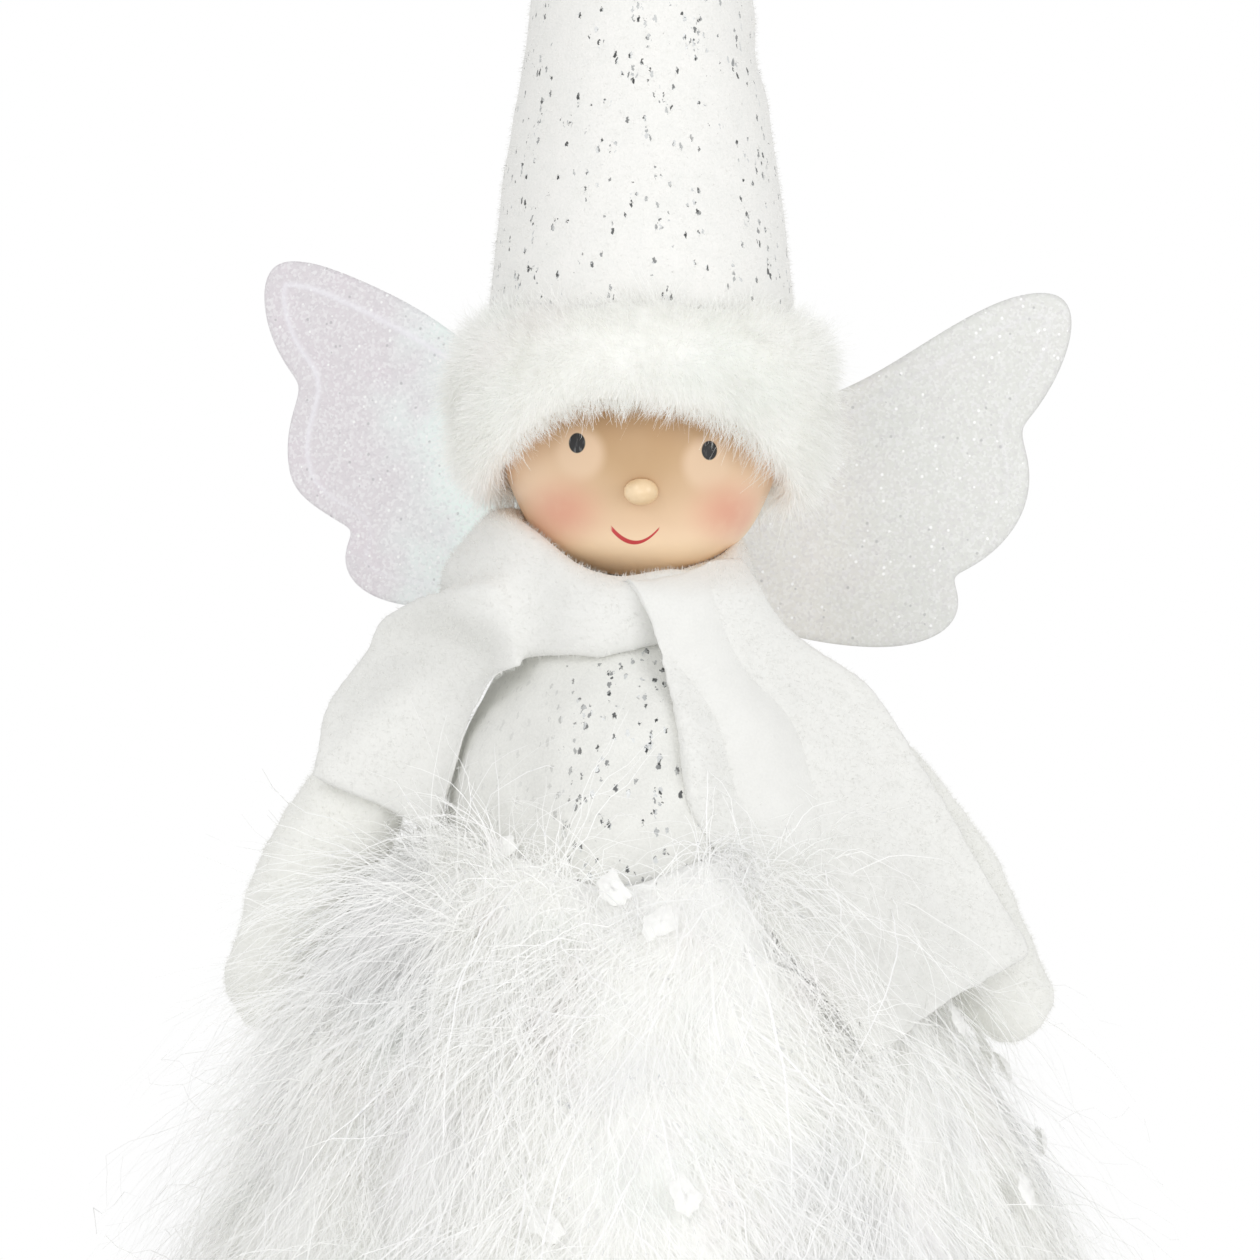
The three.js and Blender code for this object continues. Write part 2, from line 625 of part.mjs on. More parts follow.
// Felt tab sewn to the bodice's back. It steps back behind the hat's roll, and carries both wings.
function wingTab(seatY, hingeY) {
  const outside = hingeY + WING_TAB_CLOTH / 2;
  const upper = hingeY - WING_TAB_CLOTH / 2;
  const step = -WING_SEAM / 2;
  const profile = new THREE.Shape();
  profile.moveTo(seatY, -WING_TAB_DROP);
  profile.lineTo(outside, -WING_TAB_DROP);
  profile.lineTo(outside, WING_TAB_TOP);
  profile.lineTo(upper, WING_TAB_TOP);
  profile.lineTo(upper, step);
  profile.lineTo(seatY, step);
  profile.closePath();
  const tab = new THREE.ExtrudeGeometry(profile, { depth: WING_TAB_WIDTH, bevelEnabled: false });
  const toAxes = new THREE.Matrix4().set(0, 0, 1, 0, 1, 0, 0, 0, 0, 1, 0, 0, 0, 0, 0, 1);
  return tab.translate(0, 0, -WING_TAB_WIDTH / 2).applyMatrix4(toAxes);
}

const figure = new THREE.Group();
figure.name = "angel_figurine";

function addPiece(name, geometry, material, parent = figure) {
  const piece = new THREE.Mesh(welded(geometry), material);
  piece.name = name;
  parent.add(piece);
  return piece;
}

function addBase() {
  addPiece("base_felt", turned([[0, 0], [BASE_RADIUS, 0], [BASE_RADIUS, BOARD_Z], [0, BOARD_Z]]), felt);
  const bore = STICK_RADIUS + GAP;
  const edge = BASE_RADIUS - GAP;
  const disc = [[bore, BOARD_Z], [edge, BOARD_Z], [edge, CORE_Z], [bore, CORE_Z], [bore, BOARD_Z]];
  addPiece("base_board", turned(disc), board);
  addPiece("ballast_bag", ballastBag(), sack);
  addPiece("body_core", bodyCore(), foam);
  addPiece("chest_block", chestBlock(), foam);
  const stickTop = HEAD_Z - HEAD_RADIUS + STICK_IN_HEAD - GAP;
  const stick = [[0, BOARD_Z], [STICK_RADIUS, BOARD_Z], [STICK_RADIUS, stickTop], [0, stickTop]];
  addPiece("neck_stick", turned(stick, 24), beech);
}

function addHead() {
  addPiece("head", head(), skin);
  addPiece("nose", nose(), skin);
  addPiece("hat", hat(), fleckedFleece);
  addPiece("hat_filling", hatFilling(), filling);
  return addPiece("hat_brim", hatBrim(), fur);
}

// Clothes and arms. The skirt's pile is pressed in where an arm lies on it.
function addClothes() {
  const leftArm = addPiece("left_arm", arm(1, LEFT_ARM_START_ANGLE, LEFT_ARM_END_ANGLE), fleece);
  const rightArm = addPiece("right_arm", arm(-1, RIGHT_ARM_START_ANGLE, RIGHT_ARM_END_ANGLE), fleece);
  const top = addPiece("bodice", bodice(), fleckedFleece);
  const pressed = cut(
    skirt(),
    arm(1, LEFT_ARM_START_ANGLE, LEFT_ARM_END_ANGLE, DRAPE_GAP),
    arm(-1, RIGHT_ARM_START_ANGLE, RIGHT_ARM_END_ANGLE, DRAPE_GAP),
  );
  const bell = addPiece("skirt", pressed, pile);
  const wrap = addPiece("scarf_wrap", scarfWrap(), fleece);
  const leftTail = drapedStrip({
    start: { x: LEFT_TAIL_START, z: SCARF_Z + LEFT_TAIL_RISE },
    from: LEFT_TAIL_FROM_ANGLE,
    to: LEFT_TAIL_TO_ANGLE,
    length: LEFT_TAIL_LENGTH,
    widthAt: tailWidth(LEFT_TAIL_KNOT_WIDTH, SCARF_WIDTH),
    levelTop: true,
    facing: 0,
    under: [wrap, top, bell, leftArm],
  });
  addPiece("scarf_left_tail", leftTail, fleece);
  const rightTail = drapedStrip({
    start: { x: -RIGHT_TAIL_START, z: SCARF_Z - RIGHT_TAIL_DROP },
    from: RIGHT_TAIL_FROM_ANGLE,
    to: RIGHT_TAIL_TO_ANGLE,
    length: RIGHT_TAIL_LENGTH,
    widthAt: tailWidth(RIGHT_TAIL_KNOT_WIDTH, RIGHT_TAIL_WIDTH),
    levelTop: false,
    facing: RIGHT_TAIL_FACING_ANGLE,
    under: [wrap, top, bell, rightArm],
  });
  addPiece("scarf_right_tail", rightTail, fleece);
  return wrap;
}

// Both wings turn about the rounded edge that is sewn to the tab.
function addWings(wrap, brim) {
  const backOf = (piece) => {
    piece.geometry.computeBoundingBox();
    return piece.geometry.boundingBox.max.y;
  };
  const tabFoot = WING_Z - WING_TAB_DROP;
  const seatY = Math.max(backOf(wrap), bodiceRadius(tabFoot)) + GAP;
  const hingeY = Math.max(backOf(wrap), backOf(brim)) + WING_TAB_CLOTH / 2 + GAP;
  const pair = new THREE.Group();
  pair.name = "wings";
  pair.position.z = WING_Z;
  pair.rotation.y = rad(WING_ROLL_ANGLE);
  figure.add(pair);
  addPiece("wing_tab", wingTab(seatY, hingeY), felt, pair);
  for (const [name, side, fold] of [["left_wing", 1, LEFT_WING_FOLD_ANGLE], ["right_wing", -1, RIGHT_WING_FOLD_ANGLE]]) {
    const hinge = addPiece(name, wing(side), glitter, pair);
    hinge.position.set(side * (WING_TAB_WIDTH / 2 + WING_THICKNESS / 2 + GAP), hingeY, 0);
    hinge.rotation.z = side * rad(fold);
  }
}

addBase();
const brim = addHead();
const wrap = addClothes();
addWings(wrap, brim);

export default figure;
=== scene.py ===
"""Looks of a plush angel figurine: fleece, fur, long eyelash pile, glitter wings and a painted face."""
import math

import bmesh
import bpy
import numpy as np
from mathutils import Matrix
from mathutils.geometry import delaunay_2d_cdt


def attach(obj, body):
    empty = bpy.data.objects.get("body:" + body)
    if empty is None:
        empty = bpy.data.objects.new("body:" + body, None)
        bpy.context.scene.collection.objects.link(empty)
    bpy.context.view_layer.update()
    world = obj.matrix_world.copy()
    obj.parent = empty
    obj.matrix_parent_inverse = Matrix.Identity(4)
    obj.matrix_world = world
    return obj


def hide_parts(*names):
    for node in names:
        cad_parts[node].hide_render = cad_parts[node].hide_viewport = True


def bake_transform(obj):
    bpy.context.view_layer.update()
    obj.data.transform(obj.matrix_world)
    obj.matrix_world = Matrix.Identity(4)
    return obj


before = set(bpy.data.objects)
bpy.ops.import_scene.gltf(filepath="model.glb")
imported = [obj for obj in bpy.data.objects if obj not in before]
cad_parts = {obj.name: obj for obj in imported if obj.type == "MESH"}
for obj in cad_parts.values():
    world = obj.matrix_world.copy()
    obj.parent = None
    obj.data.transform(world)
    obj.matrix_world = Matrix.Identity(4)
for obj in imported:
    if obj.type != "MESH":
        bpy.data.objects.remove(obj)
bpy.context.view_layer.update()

MM = 0.001
TURN = 2 * math.pi
UP = np.array([0, 0, 1.0])
WAVE_COUNT = 10  # waves that make up a soft undulation
rng = np.random.default_rng(11)

# Sizes shared with the solids, in millimetres
HEAD_Z = 258.4
HEAD_RADIUS = 31.0
HAT_RIM_Z = 272.0
HAT_RIM_RADIUS = 36.2
HAT_HEIGHT = 228.0
HAT_TIP_RADIUS = 5.0
SCARF_Z = 222.0
SCARF_RADIUS = 23.0
CORE_Z = 5.0
CORE_HEIGHT = 181.0
CORE_BASE_RADIUS = 84.0
CORE_TOP_RADIUS = 36.0
BODICE_COVER = 2.8
WAIST_Z = 168.0
WAIST_PILE = 3.0
HEM_RADIUS = 112.0
HEM_LIFT = 1.5
SKIRT_FULLNESS = 0.85
BASE_RADIUS = 88.0
WING_Z = 235.0
WING_ROLL = 2.6  # degrees
WING_HINGE_X = 7.3
WING_HINGE_Y = 44.149
WING_REACH = 94.0
WING_RISE = 63.0
WING_DROP = 21.0
WING_SEAM = 22.0
WING_FOLDS = {1: 16.0, -1: 28.0}  # degrees of the left and the right wing

# Wings, in millimetres
WING_LINE = 5.6  # raised line on a wing, in from its edge
WING_LINE_WIDTH = 0.6
WING_LINE_RISE = 0.3
WING_BEND = 3.8  # depth of a wing's soft upright bend, and its place out from the seam
WING_BEND_AT = 38.0
WING_STEP = 0.7  # size of a wing's faces
WING_HALF_THICKNESS = 0.8
WING_TOP_BOW = 7.0  # the right wing's rise along its top, at its notch and at its lower lobes
WING_NOTCH_LIFT = 2.3
LOWER_LOBE_LIFT = 4.6
WING_BENDS = (  # curves of the edge from the seam's foot to its top, in shares of reach and of rise or drop
    ((0.16, -0.75), (0.34, -1), (0.52, -1)),
    ((0.68, -1), (0.79, -0.7), (0.72, -0.18)),
    ((0.82, 0), (0.99, 0.2), (0.88, 0.49)),
    ((0.97, 0.62), (1.07, 1), (0.93, 1)),
    ((0.77, 1), (0.58, 0.7), (0.42, 0.6)),
    ((0.26, 0.49), (0.13, 0.34), (0, WING_SEAM / 2 / WING_RISE)),
)

# Hat and brim, in millimetres
HAT_SEAM_DEPTH = 0.9
HAT_DENT = 1.1  # depth of a soft dent on the hat's left side, and its height
HAT_DENT_Z = 343.0
BRIM_FUR_COUNT = 88000
BRIM_FUR_LENGTH = (3.6, 5.8)
BRIM_FUR_SHORTEST = 2.4
BRIM_FUR_WIDTH = 0.14
BRIM_SINK = 1.1  # the roll lies this far under its solid's outside
BRIM_ARCH = 2.0  # rise of the brim's lower edge over the forehead
BRIM_LOBE_DROP = (5.0, 6.5)  # the brim hangs this much lower at its right and left side
BRIM_LOBE_TOP = 266.0  # height under which it does

# Pile, in millimetres
PILE_COUNT = 30000  # short tangled fibres that lie close to the ground
PILE_LONG_COUNT = 12000  # long wavy ones over them
PILE_STRAY_COUNT = 1500  # strays that stand out
LASH_COUNT = 900  # thick wavy strands that hang over all of them
LASH_WIDTH = 0.5
LOCK_FIBRES = 6  # fibres of one lock of the long pile, and how far apart they grow
LOCK_SIZE = 2.0
ARM_PILE_COUNT = 2400  # fibres that spread in front of the right arm, and the lowest that they grow
ARM_PILE_Z = 125.0
EDGE_PILE_COUNT = 900  # fibres that stand up beside the left tail's inner edge
EDGE_LINE = ((13.0, 180.0), (48.0, 121.0))  # that edge from end to end: across, height
WAIST_FLUFF_COUNT = 1200
WAIST_WISP_COUNT = 520
WAIST_DIP = 8.0  # the top row lies this much lower at the front
PILE_WIDTH = 0.26
FIBRE_TIP = 0.25  # width of a fibre's tip, as a share of its root's
PIECE_FACES = 90000  # most faces of one piece of fibres: more of them make several pieces
PILE_SINK = 5.0  # the woven ground lies this far under the pile's outside, and less at the waist
WAIST_SINK = 1.2
PILE_REACH = 11.0  # no fibre stands out further past the hem
PILE_LEAN = 13.0  # degrees that the pile stands out more on the figure's right side
CHIP_SIZE = 7.8  # patches of snow fluff
CHIP_PUFF = 1.0
CHIP_LIFT = 1.2
CHIP_COUNT = 34
CHIP_RINGS = 8
CHIP_SPOKES = 28
CHIP_FLUFF_COUNT = 12000
CHIP_FLUFF_LENGTH = (1.0, 2.4)
FRONT_CHIPS = ((-30, 168), (-6, 160), (4, 153), (9, 97), (-20, 91), (-79, 76))  # across, height

# Sleeves, bodice and fuzz, in millimetres
SWELL_ROOM = 0.3  # sleeves start this much smaller than their solids
SWELL_CAP = 2.4
SWELL_PRESSURE = 4.0
SWELL_FRAMES = 20
SWELL_VOXEL = 4.0
SLEEVE_SEAM_DEPTH = 0.6
HIP_FULLNESS = 3.2  # the bodice is fuller beside the right arm, at this height
HIP_Z = 183.0
NAP_COUNT = 24000
NAP_LENGTH = (0.6, 1.3)
NAP_WIDTH = 0.1

# Scarf, in millimetres
WRAP_EDGE = ((-38, -27, -19, 1), (204.6, 208.0, 210.0, 211.5))  # lower edge of the roll: across, height
JAW_RISE = 5.5  # the roll lies this much higher beside the right jaw
CHIN_DROP = 3.0  # and lower under the chin
CHEEK_DROP = 3.3  # and lower beside the chin on the figure's left
WRAP_FALL = 2.5  # the roll's lower edge falls this far towards the right arm
SHOULDER_FLARE = 7.0  # the roll reaches out this far over the right shoulder, and the tail below it
SHOULDER_BULGE = 5.5
KNOT_DRAW = 4.0  # the roll is drawn in this far at the left tail's knot
TAIL_SPREAD = 2.5  # the right tail's inner edge swings in this far
HEM_TILT = (6.0, -8.0)  # rise of the right tail's hem at its outer and inner corner
HEM_CORNERS = (-74, -42)
HEM_CORNER_PULL = 2.0
TAIL_KNOT = (10.5, 226.5)  # across and height of the place where the left tail starts
TAIL_ANGLE = 30.0  # degrees from straight down
TAIL_FULLNESS = 7.0  # the left tail's inner edge swings out this far below the chest
NECK_FULLNESS = 2.5  # and this far under the chin
TAIL_LEAN = 12.0  # its top leans back this far over the roll
EDGE_SINK = 2.4  # depth of its inner edge in the pile
TAIL_FOLDS = ((-2.6, -4, 8), (1.2, 10, 8), (1.3, -15, 5))  # valley, ridge, curled edge: rise, across, width

# Head and its painted face, in millimetres, with places from the head's middle: across, up
NOSE_FLATNESS = 0.8
CHIN_FULLNESS = 6.0
JOWL_FULLNESS = 0.08  # share by which the lower face is wider than a ball
FACE_LOW = (13, 29)  # depths under the head's middle between which both set in
EYES = (((-14.0, -2.0), (1.8, 2.2)), ((14.9, -3.6), (1.7, 2.1)))  # middle, half size
EYE_HALOES = ((-13.4, -4.4), (14.4, -6.6))
HALO_SIZE = (6.4, 6.8)
CHEEKS = ((-17.2, -16.8), (19.4, -17.0))
CHEEK_SIZE = (11, 9)
SMILE = (-1.3, -23.7)  # lowest place of the mouth
SMILE_BEND = 114.0

# Stage: lamps in metres and watts, the rest in millimetres
FLOOR_RADIUS = 700.0
WORLD_LIGHT = 0.69
LAMPS = {  # place, size and watts
    "key": ((-0.9, -1.5, 1.2), 1.0, 5.6),
    "fill": ((1.3, -1.2, 0.5), 1.2, 7.0),
    "low_fill": ((-0.2, -1.5, 0.06), 0.8, 3.6),
    "back": ((0.4, 1.6, 0.8), 1.2, 3.0),
}
LAMP_AIM = (0, 0, 0.2)
CAMERA_PLACE = (-2.44, -1600.0, 215.56)
FRAME_WIDTH = 280.0  # width of the figure's plane that fills the frame
SENSOR_WIDTH = 36.0


def srgb(red, green, blue):
    """A colour as it is seen, from 0 to 255, in the linear numbers that shaders take."""
    def linear(c):
        c = c / 255
        return c / 12.92 if c <= 0.04045 else ((c + 0.055) / 1.055) ** 2.4
    return (linear(red), linear(green), linear(blue), 1.0)


def ramp(x, low, high):
    """A smooth rise from 0 to 1 between two values."""
    t = np.clip((x - low) / (high - low), 0, 1)
    return t * t * (3 - 2 * t)


def bell(x, middle, width):
    """A smooth bump of height 1 at a value."""
    return np.exp(-((x - middle) / width) ** 2)


def unit(v):
    return v / np.maximum(np.linalg.norm(v, axis=-1, keepdims=True), 1e-9)


def outward(places):
    """Level directions away from the Z axis."""
    return unit(places * np.array([1, 1, 0]))


def waves(points, length, seed, stretch=(1, 1, 1)):
    """Soft random undulation between about -1 and 1, with bumps of the given length."""
    local = np.random.default_rng(seed)
    total = np.zeros(len(points))
    for _ in range(WAVE_COUNT):
        direction = unit(local.normal(size=3)) * np.array(stretch) / length * local.uniform(0.6, 1.3)
        total += np.sin(TURN * (points @ direction + local.random()))
    return total / math.sqrt(WAVE_COUNT / 1.5)


# Meshes


def link(name, data):
    """A new object of the scene."""
    obj = bpy.data.objects.new(name, data)
    bpy.context.scene.collection.objects.link(obj)
    return obj


def object_of(name, shape):
    """A new object from an edit mesh, which is used up."""
    mesh = bpy.data.meshes.new(name)
    shape.to_mesh(mesh)
    shape.free()
    return link(name, mesh)


def smooth(mesh):
    mesh.polygons.foreach_set("use_smooth", np.full(len(mesh.polygons), True))


def new_object(name, points, faces):
    """A mesh object from millimetre points and faces that are all of one size."""
    faces = np.asarray(faces, dtype=np.int32)
    mesh = bpy.data.meshes.new(name)
    mesh.vertices.add(len(points))
    mesh.vertices.foreach_set("co", (np.asarray(points, dtype=np.float32) * MM).ravel())
    mesh.loops.add(faces.size)
    mesh.loops.foreach_set("vertex_index", faces.ravel())
    mesh.polygons.add(len(faces))
    mesh.polygons.foreach_set("loop_start", np.arange(len(faces), dtype=np.int32) * faces.shape[1])
    smooth(mesh)
    mesh.update(calc_edges=True)
    mesh.validate()
    return link(name, mesh)


def points_of(obj):
    """Places and normals of a mesh's points, in millimetres."""
    count = len(obj.data.vertices)
    places = np.empty(count * 3, dtype=np.float32)
    normals = np.empty(count * 3, dtype=np.float32)
    obj.data.vertices.foreach_get("co", places)
    obj.data.vertices.foreach_get("normal", normals)
    return places.reshape(-1, 3) / MM, normals.reshape(-1, 3)


def move_points(obj, places):
    obj.data.vertices.foreach_set("co", (places * MM).astype(np.float32).ravel())
    obj.data.update()


def bake(obj):
    """Applies an object's modifiers to its mesh."""
    result = obj.evaluated_get(bpy.context.evaluated_depsgraph_get())
    mesh = bpy.data.meshes.new_from_object(result)
    obj.modifiers.clear()
    obj.data = mesh
    smooth(mesh)


def evenly_meshed(name, voxel, *nodes):
    """A copy of one or more solids as one piece, in faces of about the given size."""
    shape = bmesh.new()
    for node in nodes:
        shape.from_mesh(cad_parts[node].data)
    obj = object_of(name, shape)
    remesh = obj.modifiers.new("remesh", "REMESH")
    remesh.mode = "VOXEL"
    remesh.voxel_size = voxel * MM
    bake(obj)
    return obj


def soft_copy(name, voxel, steps, *nodes):
    """A rounded copy of solids, as the start of a piece of cloth."""
    obj = evenly_meshed(name, voxel, *nodes)
    relax(obj, steps)
    return obj


def relax(obj, steps, share=1.0):
    """Moves points towards the middle of their neighbours, all alike or each by its own share."""
    places, _ = points_of(obj)
    edges = np.empty(len(obj.data.edges) * 2, dtype=np.int32)
    obj.data.edges.foreach_get("vertices", edges)
    a, b = edges.reshape(-1, 2).T
    here, there = np.concatenate([a, b]), np.concatenate([b, a])
    neighbours = np.bincount(here, minlength=len(places))[:, None]
    pull = 0.5 * np.broadcast_to(share, len(places))[:, None]
    for _ in range(steps):
        total = np.column_stack([np.bincount(here, places[there, k], len(places)) for k in range(3)])
        places = places + pull * (total / neighbours - places)
    move_points(obj, places)


def swelled_copy(name, node):
    """A stuffed copy of a solid: it starts a little smaller, then a cloth simulation swells it."""
    obj = evenly_meshed(name, SWELL_VOXEL, node)
    places, normals = points_of(obj)
    start = places - normals * SWELL_ROOM
    move_points(obj, start)
    cloth = obj.modifiers.new("cloth", "CLOTH")
    cloth.settings.use_pressure = True
    cloth.settings.uniform_pressure_force = SWELL_PRESSURE
    cloth.settings.effector_weights.gravity = 0
    for step in range(1, SWELL_FRAMES + 1):
        bpy.context.scene.frame_set(step)
    bake(obj)
    bpy.context.scene.frame_set(1)
    moved = points_of(obj)[0] - start
    length = np.linalg.norm(moved, axis=1, keepdims=True)
    move_points(obj, start + moved * np.minimum(1, SWELL_CAP / np.maximum(length, 1e-6)))
    finer = obj.modifiers.new("finer", "SUBSURF")
    finer.levels = 2
    bake(obj)
    return obj


def turned(name, profile, around, radius_change=None):
    """Turns a profile of (radius, height) points about the Z axis, open at both ends."""
    profile = np.asarray(profile, dtype=float)
    turn = np.linspace(0, TURN, around, endpoint=False)
    radius = np.repeat(profile[:, :1], around, axis=1)
    height = np.repeat(profile[:, 1:], around, axis=1)
    if radius_change is not None:
        radius = radius + radius_change(np.broadcast_to(turn, radius.shape), height)
    points = np.stack([radius * np.cos(turn), radius * np.sin(turn), height], axis=2).reshape(-1, 3)
    return new_object(name, points, ring_faces(len(profile), around))


def ring_faces(rows, columns):
    """Four-sided faces of a grid of points that is closed round its columns."""
    i, j = np.meshgrid(np.arange(rows - 1), np.arange(columns), indexing="ij")
    k = (j + 1) % columns
    corners = [i * columns + j, i * columns + k, (i + 1) * columns + k, (i + 1) * columns + j]
    return np.stack(corners, axis=2).reshape(-1, 4)


def scatter(obj, count):
    """Random places and normals spread evenly over a mesh, in millimetres."""
    obj.data.calc_loop_triangles()
    corners = np.empty(len(obj.data.loop_triangles) * 3, dtype=np.int32)
    obj.data.loop_triangles.foreach_get("vertices", corners)
    places, normals = points_of(obj)
    a, b, c = (places[corners.reshape(-1, 3)[:, k]] for k in range(3))
    areas = np.linalg.norm(np.cross(b - a, c - a), axis=1)
    chosen = rng.choice(len(areas), size=count, p=areas / areas.sum())
    u, v = rng.random(count), rng.random(count)
    flip = u + v > 1
    u[flip], v[flip] = 1 - u[flip], 1 - v[flip]
    weights = np.column_stack([1 - u - v, u, v])[:, :, None]
    triples = corners.reshape(-1, 3)[chosen]
    return (places[triples] * weights).sum(axis=1), unit((normals[triples] * weights).sum(axis=1))


def ribbons(name, paths, widths, facing):
    """Fine flat fibres along many paths at once, whose flat sides mostly face outwards."""
    count, steps, _ = paths.shape
    along = unit(np.gradient(paths, axis=1))
    shown = unit(facing + rng.normal(0, 0.3, (count, 3)))[:, None, :]
    side = unit(np.cross(along, shown))
    half = 0.5 * widths[:, None, None] * np.linspace(1, FIBRE_TIP, steps)[None, :, None]
    points = np.stack([paths - side * half, paths + side * half], axis=2).reshape(-1, 3)
    first = (np.arange(count)[:, None] * steps + np.arange(steps - 1)[None, :]).ravel() * 2
    faces = np.column_stack([first, first + 1, first + 3, first + 2])
    return new_object(name, points, faces)


def grow(roots, direction, length, steps, droop, sway, wave=0.0, lock=1):
    """Paths of fibres that start along a direction and are bent by their weight, a steady sway and waves."""
    step = (length / (steps - 1))[:, None]
    here = roots
    heading = unit(direction)
    locks = len(roots) // lock
    crimp = np.repeat(rng.normal(size=(locks, 3)), lock, axis=0) * wave
    phase = np.repeat(rng.uniform(0, TURN, (locks, 1)), lock, axis=0)
    path = [here]
    for i in range(steps - 1):
        here = here + heading * step
        path.append(here)
        heading = unit(heading - droop[:, None] * UP + sway + crimp * np.cos(phase + 1.9 * i))
    return np.stack(path, axis=1)


# Materials


class Nodes:
    """The node tree of a material or world, built with short calls."""

    def __init__(self, owner):
        owner.use_nodes = True
        self.nodes = owner.node_tree.nodes
        self.links = owner.node_tree.links

    def put(self, socket, value):
        if isinstance(value, bpy.types.NodeSocket):
            self.links.new(value, socket)
        else:
            socket.default_value = value

    def add(self, kind, settings=None, **inputs):
        node = self.nodes.new("ShaderNode" + kind)
        for key, value in (settings or {}).items():
            setattr(node, key, value)
        for key, value in inputs.items():
            self.put(node.inputs[key.replace("_", " ")], value)
        return node

    def math(self, operation, a, b=0.0, clamp=False):
        node = self.add("Math", {"operation": operation, "use_clamp": clamp})
        self.put(node.inputs[0], a)
        self.put(node.inputs[1], b)
        return node.outputs[0]

    def times(self, a, b):
        return self.math("MULTIPLY", a, b)

    def plus(self, a, b, clamp=False):
        return self.math("ADD", a, b, clamp)

    def range(self, value, low, high, to_low=0.0, to_high=1.0):
        numbers = {"From_Min": low, "From_Max": high, "To_Min": to_low, "To_Max": to_high}
        node = self.add("MapRange", {"interpolation_type": "SMOOTHSTEP"}, Value=value, **numbers)
        return node.outputs["Result"]


class Paint(Nodes):
    """One material. Textures lie in the object's own metres."""

    def __init__(self, name):
        self.material = bpy.data.materials.new(name)
        super().__init__(self.material)
        self.shader = self.nodes["Principled BSDF"]
        self.place = self.add("TexCoord").outputs["Object"]

    def noise(self, scale, detail=2.0, place=None):
        return self.add("TexNoise", Vector=place or self.place, Scale=scale, Detail=detail).outputs["Fac"]

    def mottled(self, scale, detail, to_low=0.0, to_high=1.0):
        """Soft noise, spread over a range of values."""
        return self.range(self.noise(scale, detail), 0.3, 0.7, to_low, to_high)

    def cells(self, scale, place=None):
        return self.add("TexVoronoi", Vector=place or self.place, Scale=scale)

    def mix(self, share, first, second):
        node = self.add("Mix", {"data_type": "RGBA"}, Factor=share)
        self.put(node.inputs[6], first)
        self.put(node.inputs[7], second)
        return node.outputs[2]

    def split(self, vector):
        return self.add("SeparateXYZ", Vector=vector).outputs

    def stretched(self, scale):
        return self.add("Mapping", Vector=self.place, Scale=scale).outputs["Vector"]

    def bump(self, height, distance, strength=1.0):
        node = self.add("Bump", Height=height, Strength=strength, Distance=distance * MM)
        self.put(self.shader.inputs["Normal"], node.outputs["Normal"])

    def set(self, **values):
        for key, value in values.items():
            self.put(self.shader.inputs[key.replace("_", " ")], value)


def fleece_base(paint, light, dark):
    """Mottled colour and the short felted nap of fleece. Gives back the colour and the nap's height."""
    mottle = paint.noise(190, 2)
    nap = paint.noise(1700, 4)
    share = paint.plus(paint.times(mottle, 0.4), paint.times(nap, 0.6))
    return paint.mix(paint.range(share, 0.3, 0.7), dark, light), nap


def fleece(name, light, dark):
    paint = Paint(name)
    color, nap = fleece_base(paint, light, dark)
    paint.bump(nap, 0.25, 0.35)
    paint.set(Base_Color=color, Roughness=paint.range(nap, 0.2, 0.8, 0.82, 1.0))
    paint.set(Sheen_Weight=0.25, Sheen_Roughness=0.5, Specular_IOR_Level=0.2)
    return paint.material


def flecked_fleece(name, amount, light, dark, big=1.0, bare_to=None):
    """Fleece with foil flecks: loose dots and small clusters, with few of them left of a place across."""
    paint = Paint(name)
    color, nap = fleece_base(paint, light, dark)
    place = ragged_place(paint)
    spots = paint.cells(1050, place)
    clusters = cluster_dots(paint, place, spots, amount)
    mask = paint.plus(clusters, lone_dots(paint, place, amount, big), clamp=True)
    if bare_to is not None:
        across = paint.split(paint.place)[0]
        mask = paint.times(mask, paint.range(across, (bare_to - 8) * MM, (bare_to + 4) * MM, 0.12, 1.0))
    tone = paint.split(spots.outputs["Color"])[1]
    shade = paint.mix(paint.range(tone, 0.15, 0.95), srgb(56, 58, 58), srgb(212, 214, 214))
    paint.bump(nap, 0.35, 0.5)
    paint.set(Base_Color=paint.mix(mask, color, shade), Metallic=paint.times(mask, 0.4))
    paint.set(Roughness=paint.range(mask, 0.0, 1.0, 0.95, 0.35), Sheen_Weight=0.25, Sheen_Roughness=0.5)
    return paint.material


def ragged_place(paint):
    """Places on the cloth, shaken so that flecks get ragged edges, and stretched upright."""
    ragged = paint.add("TexNoise", Vector=paint.place, Scale=1400.0, Detail=2.0).outputs["Color"]
    shift = paint.add("VectorMath", {"operation": "SCALE"}, Vector=ragged, Scale=0.0011).outputs["Vector"]
    place = paint.add("VectorMath", {"operation": "ADD"}).outputs["Vector"]
    paint.put(place.node.inputs[0], paint.stretched((1, 1, 0.55)))
    paint.put(place.node.inputs[1], shift)
    return place


def cluster_dots(paint, place, spots, amount):
    """Where small dots stand together in clusters."""
    patch = paint.cells(205, place)
    rare = paint.split(patch.outputs["Color"])[0]
    near = paint.range(patch.outputs["Distance"], 0.14, 0.34, 1.0, 0.0)
    cluster = paint.times(near, paint.range(rare, 1 - amount, 1.05 - amount))
    dot = paint.range(spots.outputs["Distance"], 0.36, 0.46, 1.0, 0.0)
    chance = paint.plus(paint.split(spots.outputs["Color"])[0], paint.times(cluster, 0.6))
    return paint.times(paint.times(paint.range(cluster, 0.05, 0.2), dot), paint.range(chance, 0.72, 0.84))


